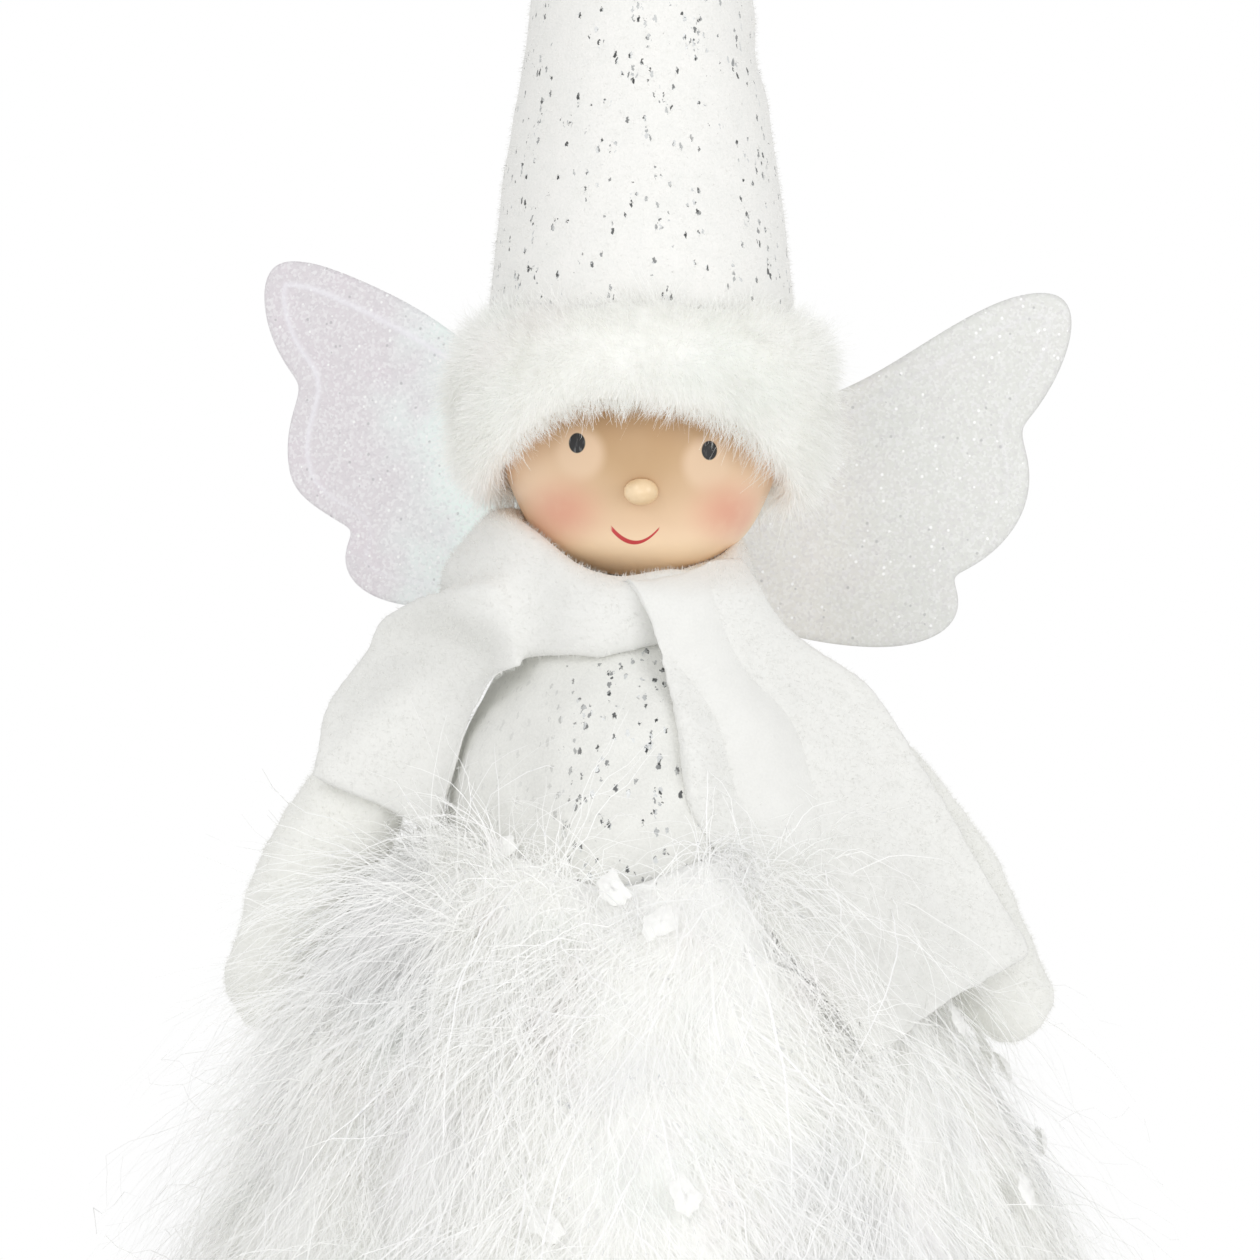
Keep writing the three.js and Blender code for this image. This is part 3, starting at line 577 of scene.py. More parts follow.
def lone_dots(paint, place, amount, big):
    """Where larger dots stand alone."""
    loose = paint.cells(520, place)
    chance = paint.split(loose.outputs["Color"])[1]
    dot = paint.range(loose.outputs["Distance"], 0.15 * big, 0.21 * big, 1.0, 0.0)
    return paint.times(dot, paint.range(chance, 1 - 0.6 * amount, 1.02 - 0.6 * amount))


def fibre_material(name, light, dark, tint_share, silver=0.0, patchy=0.0):
    """White fibres whose tone changes by strand and tuft, with grey patches of painted shade, tints and
    silver specks.
    """
    paint = Paint(name)
    strand = paint.add("NewGeometry").outputs["Random Per Island"]
    share = paint.plus(paint.times(strand, 0.7), paint.times(paint.noise(95, 3), 0.3))
    tone = paint.mix(paint.range(share, 0.1, 0.7), dark, light)
    # Painted shade: grey patches at random places, in place of the shade in the pile's hollows
    tone = paint.mix(paint.range(paint.noise(27, 2), 0.46, 0.64, 0.0, patchy), tone, srgb(243, 243, 244))
    pink = paint.range(paint.noise(48, 2), 0.56, 0.72, 0.0, tint_share)
    shifted = paint.add("Mapping", Vector=paint.place, Location=(0.31, 0.17, 0.53)).outputs["Vector"]
    mint = paint.range(paint.noise(42, 2, shifted), 0.56, 0.72, 0.0, tint_share)
    color = paint.mix(mint, paint.mix(pink, tone, srgb(246, 232, 242)), srgb(232, 246, 240))
    chance = paint.split(paint.cells(900).outputs["Color"])[0]
    speck = paint.range(chance, 1 - silver, 1.02 - silver)
    color = paint.mix(speck, color, srgb(198, 200, 206))
    paint.set(Base_Color=color, Roughness=paint.mottled(300, 2, 0.55, 0.8))
    paint.set(Specular_IOR_Level=0.3, Metallic=paint.times(speck, 0.4))
    return paint.material


def backing_material():
    """Woven ground under the pile, in soft tufts of fibre."""
    paint = Paint("pile_ground")
    place = paint.stretched((1, 1, 0.12))
    strands = paint.noise(900, 3, place)
    tufts = paint.noise(120, 3)
    share = paint.plus(paint.times(strands, 0.5), paint.times(tufts, 0.5))
    paint.bump(strands, 0.8, 0.7)
    paint.set(Base_Color=paint.mix(paint.range(share, 0.35, 0.65), srgb(243, 243, 242), srgb(252, 252, 250)))
    paint.set(Roughness=paint.range(tufts, 0.3, 0.7, 0.85, 1.0), Sheen_Weight=0.2)
    return paint.material


def ellipse(paint, middle, half):
    """Distance from a point of the face, where 1 is the rim of an ellipse."""
    across, _, up = paint.split(paint.place)[:3]
    x = paint.math("DIVIDE", paint.math("SUBTRACT", across, middle[0] * MM), half[0] * MM)
    z = paint.math("DIVIDE", paint.math("SUBTRACT", up, middle[1] * MM), half[1] * MM)
    return paint.math("SQRT", paint.plus(paint.times(x, x), paint.times(z, z)))


def skin_material():
    """Satin paint with a doll's face on it: eyes, cheeks and a smile on the front, and painted light and
    shade in its tone.
    """
    paint = Paint("painted_face")
    _, depth, up = paint.split(paint.place)[:3]
    front = paint.range(depth, -0.004, -0.012)
    tone = paint.mix(paint.mottled(38, 3), srgb(192, 158, 117), srgb(201, 167, 128))
    # Painted light: lighter towards the face's rim, in place of light that wraps round the ball's sides
    color = paint.mix(paint.range(ellipse(paint, (0, 4), (29, 34)), 0.2, 1.0), tone, srgb(239, 208, 176))
    # Painted light: lighter at the chin, in place of the light from below that reaches the face's underside
    color = paint.mix(paint.range(up, -0.019, -0.027), color, srgb(252, 226, 192))
    # Painted shade: darker towards the top of the face, as the brim's shadow on the forehead
    color = paint.mix(paint.range(up, -0.011, 0.004, 0.0, 0.5), color, srgb(176, 138, 98))
    for middle in EYE_HALOES:
        halo = paint.range(ellipse(paint, middle, HALO_SIZE), 0.55, 1.05, 0.75, 0.0)
        color = paint.mix(paint.times(halo, front), color, srgb(231, 202, 172))
    for middle in CHEEKS:
        blush = paint.range(ellipse(paint, middle, CHEEK_SIZE), 0.0, 1.1, 0.62, 0.0)
        patchy = paint.times(blush, paint.range(paint.noise(260, 3), 0.1, 0.6, 0.75, 1.0))
        color = paint.mix(paint.times(patchy, front), color, srgb(216, 138, 118))
    brush = paint.range(paint.noise(900, 2, paint.stretched((1.6, 1, 0.5))), 0.52, 0.72)
    dark = paint.mix(brush, srgb(30, 30, 32), srgb(96, 98, 98))
    for middle, half in EYES:
        eye = paint.range(ellipse(paint, middle, half), 0.94, 1.06, 1.0, 0.0)
        color = paint.mix(paint.times(eye, front), color, dark)
    color = paint.mix(paint.times(smile_mask(paint), front), color, srgb(196, 62, 66))
    paint.bump(paint.noise(700, 3), 0.08, 0.25)
    paint.set(Base_Color=color, Roughness=paint.mottled(120, 2, 0.40, 0.50))
    paint.set(Coat_Weight=0.15, Coat_Roughness=0.3, Specular_IOR_Level=0.4)
    return paint.material


def smile_mask(paint):
    """A bow from cheek to cheek, drawn thicker at the viewer's left end."""
    across, _, up = paint.split(paint.place)[:3]
    sideways = paint.math("SUBTRACT", across, SMILE[0] * MM)
    bow = paint.times(paint.times(sideways, sideways), SMILE_BEND)
    height = paint.math("SUBTRACT", paint.math("SUBTRACT", up, SMILE[1] * MM), bow)
    width = paint.range(sideways, -0.0052, 0.0052, 0.62 * MM, 0.3 * MM)
    line = paint.range(paint.math("DIVIDE", paint.math("ABSOLUTE", height), width), 0.75, 1.1, 1.0, 0.0)
    ends = paint.range(paint.math("ABSOLUTE", sideways), 0.0049, 0.0055, 1.0, 0.0)
    return paint.times(line, ends)


def nose_material():
    paint = Paint("painted_nose")
    tone = paint.mix(paint.mottled(160, 3), srgb(228, 198, 156), srgb(242, 216, 178))
    paint.bump(paint.noise(900, 3), 0.06, 0.3)
    paint.set(Base_Color=tone, Roughness=paint.mottled(200, 2, 0.3, 0.4))
    paint.set(Coat_Weight=0.3, Coat_Roughness=0.2)
    return paint.material


def wing_material(name, outer, inner, blush, sparkle, line_share):
    """Glitter cloth: flakes in pearly tints, bright ones among them, and a lighter line along the edge. Its
    tints from inside to outside are painted sheen and light, and its bright flakes are partly painted glints.
    """
    paint = Paint(name)
    flakes = paint.cells(1600)
    chance = paint.split(flakes.outputs["Color"])
    across = paint.math("ABSOLUTE", paint.split(paint.place)[0])
    share = paint.plus(across, paint.times(paint.noise(70, 2), 0.03))
    # Painted sheen and light: the inner and outer parts get their own tints in place of the glitter's
    # iridescent reflection, and the inner part is painted lighter where shade falls on it
    ground = paint.mix(paint.range(share, 0.052, 0.080), inner, outer)
    pink = paint.mix(paint.range(paint.noise(110, 3), 0.45, 0.7, 0.0, blush), ground, srgb(232, 214, 228))
    dark = paint.mix(paint.range(chance[0], 0.55, 0.95, 0.0, 0.28), pink, srgb(208, 204, 209))
    # Partly painted glints: the bright flakes here and the white specks below are the glitter's own pale
    # flakes, with its sparkle painted into their colour, more of it on the right wing
    color = paint.mix(paint.range(chance[1], 0.4, 0.97, 0.0, sparkle), dark, srgb(252, 252, 253))
    specks = paint.cells(900)
    rare = paint.split(specks.outputs["Color"])
    dot = paint.range(specks.outputs["Distance"], 0.25, 0.4, 1.0, 0.0)
    grey_speck = paint.times(dot, paint.range(rare[0], 0.965, 0.975, 0.0, 0.45))
    white_speck = paint.times(dot, paint.range(rare[1], 0.95, 0.96, 0.0, 0.9))
    color = paint.mix(white_speck, paint.mix(grey_speck, color, srgb(158, 158, 160)), srgb(255, 255, 255))
    line = paint.add("Attribute", {"attribute_name": "line"}).outputs["Fac"]
    color = paint.mix(paint.times(line, line_share), color, srgb(246, 244, 250))
    grain = paint.plus(chance[2], paint.times(paint.noise(2200, 2), 0.6))
    paint.bump(grain, 0.16, 0.4)
    paint.set(Base_Color=color, Roughness=paint.range(chance[1], 0.1, 0.97, 0.6, 0.6 - 0.7 * sparkle))
    paint.set(Coat_Weight=0.1, Coat_Roughness=0.3, Specular_IOR_Level=0.45)
    return paint.material


def chip_material():
    paint = Paint("snow_chip")
    tone = paint.mix(paint.mottled(500, 3), srgb(245, 245, 243), srgb(251, 251, 249))
    paint.bump(paint.noise(900, 3), 0.2, 0.4)
    paint.set(Base_Color=tone, Roughness=paint.mottled(300, 2, 0.8, 1.0))
    return paint.material


def felt_material():
    paint = Paint("felt")
    color, nap = fleece_base(paint, srgb(236, 233, 225), srgb(224, 220, 211))
    paint.bump(nap, 0.3, 0.6)
    paint.set(Base_Color=color, Roughness=paint.range(nap, 0.2, 0.8, 0.9, 1.0), Sheen_Weight=0.2)
    return paint.material


def grained_material(name, light, dark, scale, roughness, depth, stretch=(1, 1, 1)):
    """Board, foam, wood and sacking: two tones in a grain of a given scale and stretch."""
    paint = Paint(name)
    grain = paint.noise(scale, 4, paint.stretched(stretch))
    paint.bump(grain, depth, 0.5)
    paint.set(Base_Color=paint.mix(paint.range(grain, 0.3, 0.7), dark, light))
    paint.set(Roughness=paint.range(grain, 0.2, 0.8, roughness, min(1.0, roughness + 0.15)))
    return paint.material


# Pieces


def dress(obj, material, slot, body, *nodes):
    """Gives a piece its material and the body that it moves with, and hides the solids that it stands for."""
    obj.data.materials.clear()
    obj.data.materials.append(material)
    if nodes:
        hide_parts(*nodes)
    if body:
        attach(obj, body)


def fibres(name, paths, width, facing, material, slot):
    """Fibres that ride on the body, as one piece or as several where there are many."""
    widths = width * rng.uniform(0.7, 1.25, len(paths))
    parts = math.ceil(len(paths) * (paths.shape[1] - 1) / PIECE_FACES)
    for i, rows in enumerate(np.array_split(np.arange(len(paths)), parts)):
        part = name if parts == 1 else "%s_%d" % (name, i + 1)
        dress(ribbons(part, paths[rows], widths[rows], facing[rows]), material, slot, "body")


def core_radius(z):
    return CORE_BASE_RADIUS + (CORE_TOP_RADIUS - CORE_BASE_RADIUS) * (z - CORE_Z) / CORE_HEIGHT


def skirt_radius(z):
    """Outside of the skirt's pile at a height."""
    share = np.clip((WAIST_Z - z) / (WAIST_Z - HEM_LIFT), 0, 1)
    waist = core_radius(WAIST_Z) + BODICE_COVER + WAIST_PILE
    return waist + (HEM_RADIUS - waist) * np.sin(share * math.pi / 2) ** SKIRT_FULLNESS


def ground_radius(z):
    """The woven ground that the pile grows from."""
    return skirt_radius(z) - WAIST_SINK - (PILE_SINK - WAIST_SINK) * ramp(WAIST_Z - z, 0, 25)


def make_skirt():
    make_ground()
    white = fibre_material("eyelash_pile", srgb(255, 255, 254), srgb(249, 249, 247), 0.08, 0.012, 0.45)
    kinds = {
        "short": pile_paths(PILE_COUNT, (12, 24), lift=15, tangle=0.5, wave=0.2, steps=5),
        "long": pile_paths(PILE_LONG_COUNT, (36, 72), lift=21, tangle=0.24, wave=0.28, steps=11,
                           lock=LOCK_FIBRES),
        "stray": pile_paths(PILE_STRAY_COUNT, (34, 62), lift=40, tangle=0.3, wave=0.34, steps=10),
        "arm": arm_pile(),
        "edge": edge_pile(),
        "fluff": waist_fluff(),
        "waist": waist_wisps(),
    }
    for kind, (paths, facing) in kinds.items():
        fibres("pile_" + kind, paths, PILE_WIDTH, facing, white, "eyelash_pile")
    bright = fibre_material("eyelash_strand", srgb(255, 255, 255), srgb(252, 252, 252), 0.0)
    paths, facing = pile_paths(LASH_COUNT, (44, 84), lift=19, tangle=0.2, wave=0.3, steps=16)
    fibres("pile_lash", paths, LASH_WIDTH, facing, bright, "eyelash_pile")


def make_ground():
    """The bell of woven ground, from the foot round the hem and up to the waist."""
    heights = np.linspace(HEM_LIFT, WAIST_Z, 110)
    profile = [(BASE_RADIUS + 0.6, HEM_LIFT), *zip(ground_radius(heights), heights)]
    profile.append((core_radius(WAIST_Z) + BODICE_COVER + 0.3, WAIST_Z))
    ground = turned("skirt_ground", profile, 220, lambda turn, z: 0.6 * np.cos(20 * turn + z / 9))
    move_points(ground, dipped(points_of(ground)[0]))
    dress(ground, backing_material(), "eyelash_pile", "body", "skirt")


def round_the_bell(turn, z):
    """Place on the ground of the pile, with the directions out of it, down it and round it."""
    level = np.zeros_like(turn)
    out = np.column_stack([np.cos(turn), np.sin(turn), level])
    around = np.column_stack([-np.sin(turn), np.cos(turn), level])
    slope = ((skirt_radius(z - 1) - skirt_radius(z + 1)) / 2)[:, None]
    place = out * ground_radius(z)[:, None]
    place[:, 2] = z
    return dipped(place), unit(out + UP * slope), unit(out * slope - UP), around


def dipped(places):
    """Lowers the top row at the front, where the bodice shows further down."""
    x, y, z = places.T
    dip = WAIST_DIP * bell(x, -6, 17) * (y < 0) * ramp(z, WAIST_Z - 32, WAIST_Z)
    return places + (0.3 * outward(places) - UP) * dip[:, None]


def pile_paths(count, lengths, lift, tangle, wave, steps, lock=1):
    """Fibres combed down and out from the ground, alone or in locks, lifted by about the given angle."""
    z = WAIST_Z - (WAIST_Z - HEM_LIFT - 2) * rng.random(count * 3 // lock) ** 0.9
    keep = rng.random(len(z)) < skirt_radius(z) / HEM_RADIUS
    middle = z[keep][:count // lock]
    locks = len(middle)
    apart = LOCK_SIZE * (lock > 1)
    z = np.repeat(middle, lock) + rng.normal(0, 0.01 + apart, locks * lock)
    z = np.clip(z, HEM_LIFT + 2, WAIST_Z)
    turn = np.repeat(rng.uniform(0, TURN, locks), lock) + rng.normal(0, 0.01 * apart, len(z))
    roots, normal, down, around = round_the_bell(turn, z)
    lean = PILE_LEAN * np.maximum(0, -np.cos(turn)) - 0.5 * PILE_LEAN * np.maximum(0, np.cos(turn))
    raised = np.repeat(rng.normal(lift, lift * 0.35, locks), lock) + lean + 5 * waves(roots, 26, 5)
    angle = np.radians(np.clip(raised, 3, 80))[:, None]
    swing = 0.45 * waves(roots, 38, 3) + 0.35 * waves(roots, 13, 4)
    swing += np.repeat(rng.normal(0, tangle, locks), lock)
    swing += rng.normal(0, 0.02 + 0.05 * apart, len(z))
    heading = down * np.cos(angle) + normal * np.sin(angle) + around * swing[:, None]
    length = rng.uniform(*lengths, len(z))
    sway = around * np.repeat(rng.normal(0, 0.07, locks), lock)[:, None] - normal * 0.04
    paths = grow(roots, heading, length, steps, rng.uniform(0.02, 0.12, len(z)), sway, wave, lock)
    return kept_outside(paths), normal


def arm_pile():
    """Fibres from the front of the right hip that spread out and down in front of the right arm."""
    count = ARM_PILE_COUNT
    locks = count // LOCK_FIBRES
    forward = np.repeat(0.1 + 1.3 * rng.random(locks) ** 1.5, LOCK_FIBRES) + rng.normal(0, 0.03, count)
    z = np.repeat(rng.uniform(ARM_PILE_Z, WAIST_Z - 3, locks), LOCK_FIBRES) + rng.uniform(-3, 3, count)
    roots, normal, _, around = round_the_bell(math.pi + forward, z)
    loose = np.repeat(rng.normal(0, 0.26, (locks, 3)), LOCK_FIBRES, axis=0) + rng.normal(0, 0.1, (count, 3))
    heading = np.array([0, -0.12, -0.7]) + 0.25 * normal + loose
    heading[:, 0] -= 0.6 - 0.55 * ramp(forward, 0.3, 1.2)
    heading[:, 2] += 0.3 * waves(roots, 17, 9)
    length = rng.uniform(22, 50, count)
    paths = grow(roots, heading, length, 9, rng.uniform(0.03, 0.12, count), around * 0.02, 0.3, LOCK_FIBRES)
    return kept_outside(paths), np.tile([-0.2, -1.0, 0.35], (count, 1))


def edge_pile():
    """Fibres that stand up beside the left tail and curl over its inner edge."""
    count = EDGE_PILE_COUNT
    share = rng.random(count)[:, None] ** 0.7
    spot = np.array(EDGE_LINE[0]) * (1 - share) + np.array(EDGE_LINE[1]) * share
    x, z = (spot + rng.normal(0, 2.0, spot.shape) - np.array([1.5, 0.7])).T
    turn = -np.arccos(np.clip(x / ground_radius(z), -1, 1))
    roots, normal, down, around = round_the_bell(turn, np.minimum(z, WAIST_Z))
    heading = 0.9 * normal + down * rng.uniform(-0.3, 0.7, count)[:, None]
    heading += around * rng.normal(0.15, 0.4, count)[:, None]
    length = rng.uniform(6, 14, count) * np.where(rng.random(count) < 0.35, 1.8, 1.0)
    paths = grow(roots, heading, length, 8, rng.uniform(0.1, 0.3, count), -normal * 0.02, 0.3)
    return kept_outside(paths), normal


def near_the_arm(count, share, forward, spread):
    """Angles round the waist, a share of them near the right arm."""
    near = rng.random(count) < share
    return np.where(near, rng.normal(math.pi + forward, spread, count), rng.uniform(0, TURN, count))


def waist_wisps():
    """Fibres of the top row, which stray up and over the bodice's foot before they fall."""
    count = WAIST_WISP_COUNT
    turn = near_the_arm(count, 0.3, 0.45, 0.25)
    z = WAIST_Z - rng.uniform(0, 9, count)
    roots, normal, down, around = round_the_bell(turn, z)
    heading = normal * 0.5 - down * rng.uniform(-0.2, 0.75, count)[:, None]
    heading += around * (0.5 * waves(roots, 20, 7) + rng.normal(0, 0.45, count))[:, None]
    length = rng.uniform(14, 40, count)
    return grow(roots, heading, length, 9, rng.uniform(0.12, 0.34, count), -normal * 0.03, 0.2), normal


def waist_fluff():
    """Short soft fibres that stand up from the top row, higher in some places than in others."""
    count = WAIST_FLUFF_COUNT
    turn = near_the_arm(count, 0.5, 0.3, 0.4)
    z = WAIST_Z - rng.uniform(0, 7, count)
    roots, normal, down, around = round_the_bell(turn, z)
    height = 0.35 + 0.5 * waves(roots, 15, 8) + 0.5 * np.maximum(0, -np.cos(turn))
    heading = normal * 0.8 - down * np.clip(height, -0.5, 1.2)[:, None]
    heading += around * rng.normal(0, 0.6, (count, 1))
    length = rng.uniform(9, 24, count) * np.clip(0.7 + 0.4 * height, 0.6, 1.4)
    return grow(roots, heading, length, 7, rng.uniform(0.15, 0.45, count), -normal * 0.06, 0.3), normal


def kept_outside(paths):
    """Keeps fibres off the table, out of the ground and within reach of the hem."""
    flat = paths.reshape(-1, 3)
    flat[:, 2] = np.maximum(flat[:, 2], rng.uniform(0.6, 2.5, len(flat)))
    radius = np.hypot(flat[:, 0], flat[:, 1])
    low = ground_radius(np.clip(flat[:, 2], HEM_LIFT, WAIST_Z)) + rng.uniform(0.3, 0.9, len(flat))
    wanted = np.clip(radius, low, HEM_RADIUS + PILE_REACH)
    flat[:, :2] *= (wanted / radius)[:, None]
    return flat.reshape(paths.shape)


def make_chips():
    """Small ragged patches of white snow fluff caught in the pile."""
    turn = rng.uniform(-0.2 * math.pi, 1.2 * math.pi, CHIP_COUNT)
    height = rng.uniform(24, 158, CHIP_COUNT)
    front = [-math.acos(across / skirt_radius(z)) for across, z in FRONT_CHIPS]
    turn = np.append(turn, front)
    height = np.append(height, [z for _, z in FRONT_CHIPS])
    sheets = [chip_sheet(*spot) for spot in zip(turn, height)]
    rings = ring_faces(CHIP_RINGS, CHIP_SPOKES)
    faces = [rings + i * CHIP_RINGS * CHIP_SPOKES for i in range(len(sheets))]
    chips = new_object("snow_chips", np.concatenate(sheets), np.concatenate(faces))
    material = chip_material()
    dress(chips, material, "eyelash_pile", "body")
    dress(nap("chip_fluff", chips, CHIP_FLUFF_COUNT, CHIP_FLUFF_LENGTH), material, "eyelash_pile", "body")


def chip_sheet(turn, z):
    """Points of one patch, in rings round its middle: a puffed square with a ragged rim."""
    level = np.array([math.cos(turn), math.sin(turn), 0])
    middle = level * (skirt_radius(z) + CHIP_LIFT) + z * UP
    out = unit(level + 0.35 * UP + rng.normal(0, 0.12, 3))
    along = unit(np.cross(out, rng.normal(size=3)))
    across = np.cross(out, along)
    spokes = np.linspace(0, TURN, CHIP_SPOKES, endpoint=False)
    share, angle = np.meshgrid(np.linspace(0.001, 1, CHIP_RINGS), spokes, indexing="ij")
    square = 1 / (np.cos(angle) ** 4 + np.sin(angle) ** 4) ** 0.25
    for lobes in (2, 3, 5, 8):
        square = square * (1 + 0.07 * np.sin(lobes * angle + rng.uniform(0, TURN)))
    v = 0.5 * CHIP_SIZE * rng.uniform(0.65, 0.8) * share * square * np.sin(angle)
    u = 0.5 * CHIP_SIZE * share * square * np.cos(angle) + rng.uniform(-0.3, 0.3) * v
    puff = CHIP_PUFF * (1 - share ** 2) - 0.03 * u ** 2 + rng.normal(0, 0.1, u.shape)
    sheet = middle + along * u[..., None] + across * v[..., None] + out * puff[..., None]
    return sheet.reshape(-1, 3)


def hat_radius(z):
    """Outside of the hat at a height: a cone with a round tip."""
    cone = HAT_RIM_RADIUS + (HAT_TIP_RADIUS - HAT_RIM_RADIUS) * (z - HAT_RIM_Z) / HAT_HEIGHT
    near_tip = np.clip((z - HAT_RIM_Z - HAT_HEIGHT + HAT_TIP_RADIUS) / HAT_TIP_RADIUS, 0, 1)
    return cone * np.sqrt(1 - near_tip ** 2)


def hat_creases(turn, z):
    """Soft bumps of the hat's cloth, the seam up its back and a dent on its left side."""
    points = np.stack([36 * np.cos(turn), 36 * np.sin(turn), z], axis=-1).reshape(-1, 3)
    soft = 0.3 * waves(points, 60, 21, (1, 1, 1.3)) + 0.1 * waves(points, 17, 22, (0.7, 0.7, 1.6))
    seam = -HAT_SEAM_DEPTH * bell((turn - math.pi / 2) * 30, 0, 1.3)
    dent = -HAT_DENT * bell(z, HAT_DENT_Z, 6) * bell(np.angle(np.exp(1j * turn)), 0, 0.7)
    return (soft.reshape(z.shape) + seam + dent) * ramp(HAT_RIM_Z + HAT_HEIGHT - z, 0, 14)


def make_hat():
    heights = HAT_RIM_Z + HAT_HEIGHT * np.linspace(0, 1, 170)
    profile = [(HAT_RIM_RADIUS - 2, HAT_RIM_Z), *zip(hat_radius(heights), heights)]
    hat = turned("hat_cloth", profile, 180, hat_creases)
    cloth = flecked_fleece("flecked_fleece_hat", 0.75, srgb(243, 242, 239), srgb(236, 236, 233), 1.2)
    dress(hat, cloth, "flecked_fleece", "body", "hat")
    dress(nap("hat_nap", hat, NAP_COUNT), cloth, "flecked_fleece", "body")


def make_brim():
    roll = soft_copy("brim_roll", 1.8, 6, "hat_brim")
    places, normals = points_of(roll)
    places = brim_shape(places)
    move_points(roll, places - normals * (BRIM_SINK + 0.35 * waves(places, 18, 31)[:, None]))
    fur = fibre_material("hat_fur", srgb(251, 251, 249), srgb(247, 247, 245), 0.05)
    dress(roll, fur, "fur", "body", "hat_brim")
    paths, out = brim_paths(roll)
    fibres("brim_fur", paths, BRIM_FUR_WIDTH, out, fur, "fur")


def brim_shape(places):
    """Lets the brim hang lower at both sides of the face, and arches it over the forehead."""
    x, y, z = places.T
    side = ramp(np.abs(x + 1), 16, 31) * ramp(BRIM_LOBE_TOP - z, 0, 14) * ramp(12 - y, 0, 16)
    z = z - np.where(x < 0, *BRIM_LOBE_DROP) * side
    z = z + BRIM_ARCH * bell(x, -5.5, 13) * ramp(-y, 5, 20) * ramp(278 - z, 0, 10)
    return np.column_stack([x, y, z])


def brim_paths(roll):
    """Fur combed down, in a shorter fringe over the forehead and longer beside the left cheek."""
    roots, out = scatter(roll, BRIM_FUR_COUNT)
    outer = (out * outward(roots)).sum(axis=1)
    roots, out, outer = roots[outer > -0.85], out[outer > -0.85], outer[outer > -0.85]
    count = len(roots)
    x, _, z = roots.T
    inner = ramp(-outer, 0.1, 0.6)
    fringe = ramp(-out[:, 2], 0.1, 0.8) * ramp(24 - np.abs(x + 4), 0, 16)
    cheek = inner * ramp(x, 0, 18) * ramp(BRIM_LOBE_TOP - z, 0, 6)
    tilt = np.column_stack([waves(roots, 24, seed) for seed in (32, 33, 34)]) * 0.12
    heading = out * 0.5 + tilt + rng.normal(0, 0.2, (count, 3))
    heading[:, 0] += 0.35 * fringe * waves(roots, 7, 36)
    heading[:, 1] -= 0.6 * inner
    heading[:, 2] += -0.22 + 0.4 * ramp(out[:, 2], 0.1, 0.7)
    length = rng.uniform(*BRIM_FUR_LENGTH, count) * (1 - 0.3 * fringe)
    length *= 1 + 0.22 * waves(roots, 9, 35) + 0.4 * cheek + 0.35 * fringe * waves(roots, 5, 37)
    length = np.maximum(length, BRIM_FUR_SHORTEST) * np.where(rng.random(count) < 0.1, 1.6, 1.0)
    sway = -out * 0.1 + rng.normal(0, 0.1, (count, 3))
    return grow(roots, heading, length, 3, np.full(count, 0.06), sway, 0.12), out


def make_head():
    shape = bmesh.new()
    bmesh.ops.create_uvsphere(shape, u_segments=112, v_segments=72, radius=HEAD_RADIUS * MM)
    head = object_of("head_ball", shape)
    smooth(head.data)
    x, y, z = points_of(head)[0].T
    low = ramp(-z, *FACE_LOW)
    move_points(head, np.column_stack([x * (1 + JOWL_FULLNESS * low), y - CHIN_FULLNESS * low * (y < 0), z]))
    head.location = (0, 0, HEAD_Z * MM)
    bpy.context.view_layer.update()
    dress(head, skin_material(), "painted_skin", "body", "head")
    nose = soft_copy("nose_bead", 0.45, 5, "nose")
    places, _ = points_of(nose)
    middle = places[:, 2].mean()
    places[:, 2] = middle + NOSE_FLATNESS * (places[:, 2] - middle)
    move_points(nose, places)
    dress(nose, nose_material(), "painted_skin", "body", "nose")


def make_bodice():
    bodice = soft_copy("bodice_cloth", 1.2, 4, "bodice")
    places, normals = points_of(bodice)
    lift = 0.45 * waves(places, 26, 41) + 0.2 * waves(places, 9, 42) - 0.2
    lift += HIP_FULLNESS * bell(places[:, 2], HIP_Z, 11) * ramp(-places[:, 0], 26, 38)
    lift *= (normals * outward(places)).sum(axis=1) > 0.2
    move_points(bodice, places + normals * lift[:, None])
    cloth = flecked_fleece("flecked_fleece_bodice", 1.0, srgb(235, 235, 231), srgb(226, 226, 222), 1.5, -14)
    dress(bodice, cloth, "flecked_fleece", "body", "bodice")


def make_arm(node, seed):
    """A stuffed sleeve, swelled by simulation and drawn in along its seam."""
    arm = swelled_copy(node + "_sleeve", node)
    places, normals = points_of(arm)
    folds = 0.45 * waves(places, 30, seed) + 0.2 * waves(places, 12, seed + 1)
    seam = -SLEEVE_SEAM_DEPTH * bell(normals[:, 1], 0, 0.10)
    move_points(arm, places + normals * (folds + seam)[:, None])
    # Painted light: the sleeves' copy of the white fleece is lighter than the scarf's, to make up for the
    # shade of the scarf's tails on them
    cloth = fleece("fleece_" + node, srgb(243, 243, 239), srgb(238, 238, 234))
    dress(arm, cloth, "fleece", node, node)
    dress(nap(node + "_nap", arm, NAP_COUNT // 2), cloth, "fleece", node)


def make_scarf():
    """One strip of fleece: round the neck and over the right arm, with its other end over the left arm."""
    # Painted shade: the scarf's copy of the white fleece is darker than the sleeves', as the shade in the
    # scarf's folds
    cloth = fleece("fleece_scarf", srgb(235, 235, 232), srgb(230, 230, 227))
    roll = scarf_roll()
    dress(roll, cloth, "fleece", None, "scarf_wrap", "scarf_right_tail")
    hang(roll, cloth)
    tail = scarf_tail()
    dress(tail, cloth, "fleece", None, "scarf_left_tail")
    hang(tail, cloth)


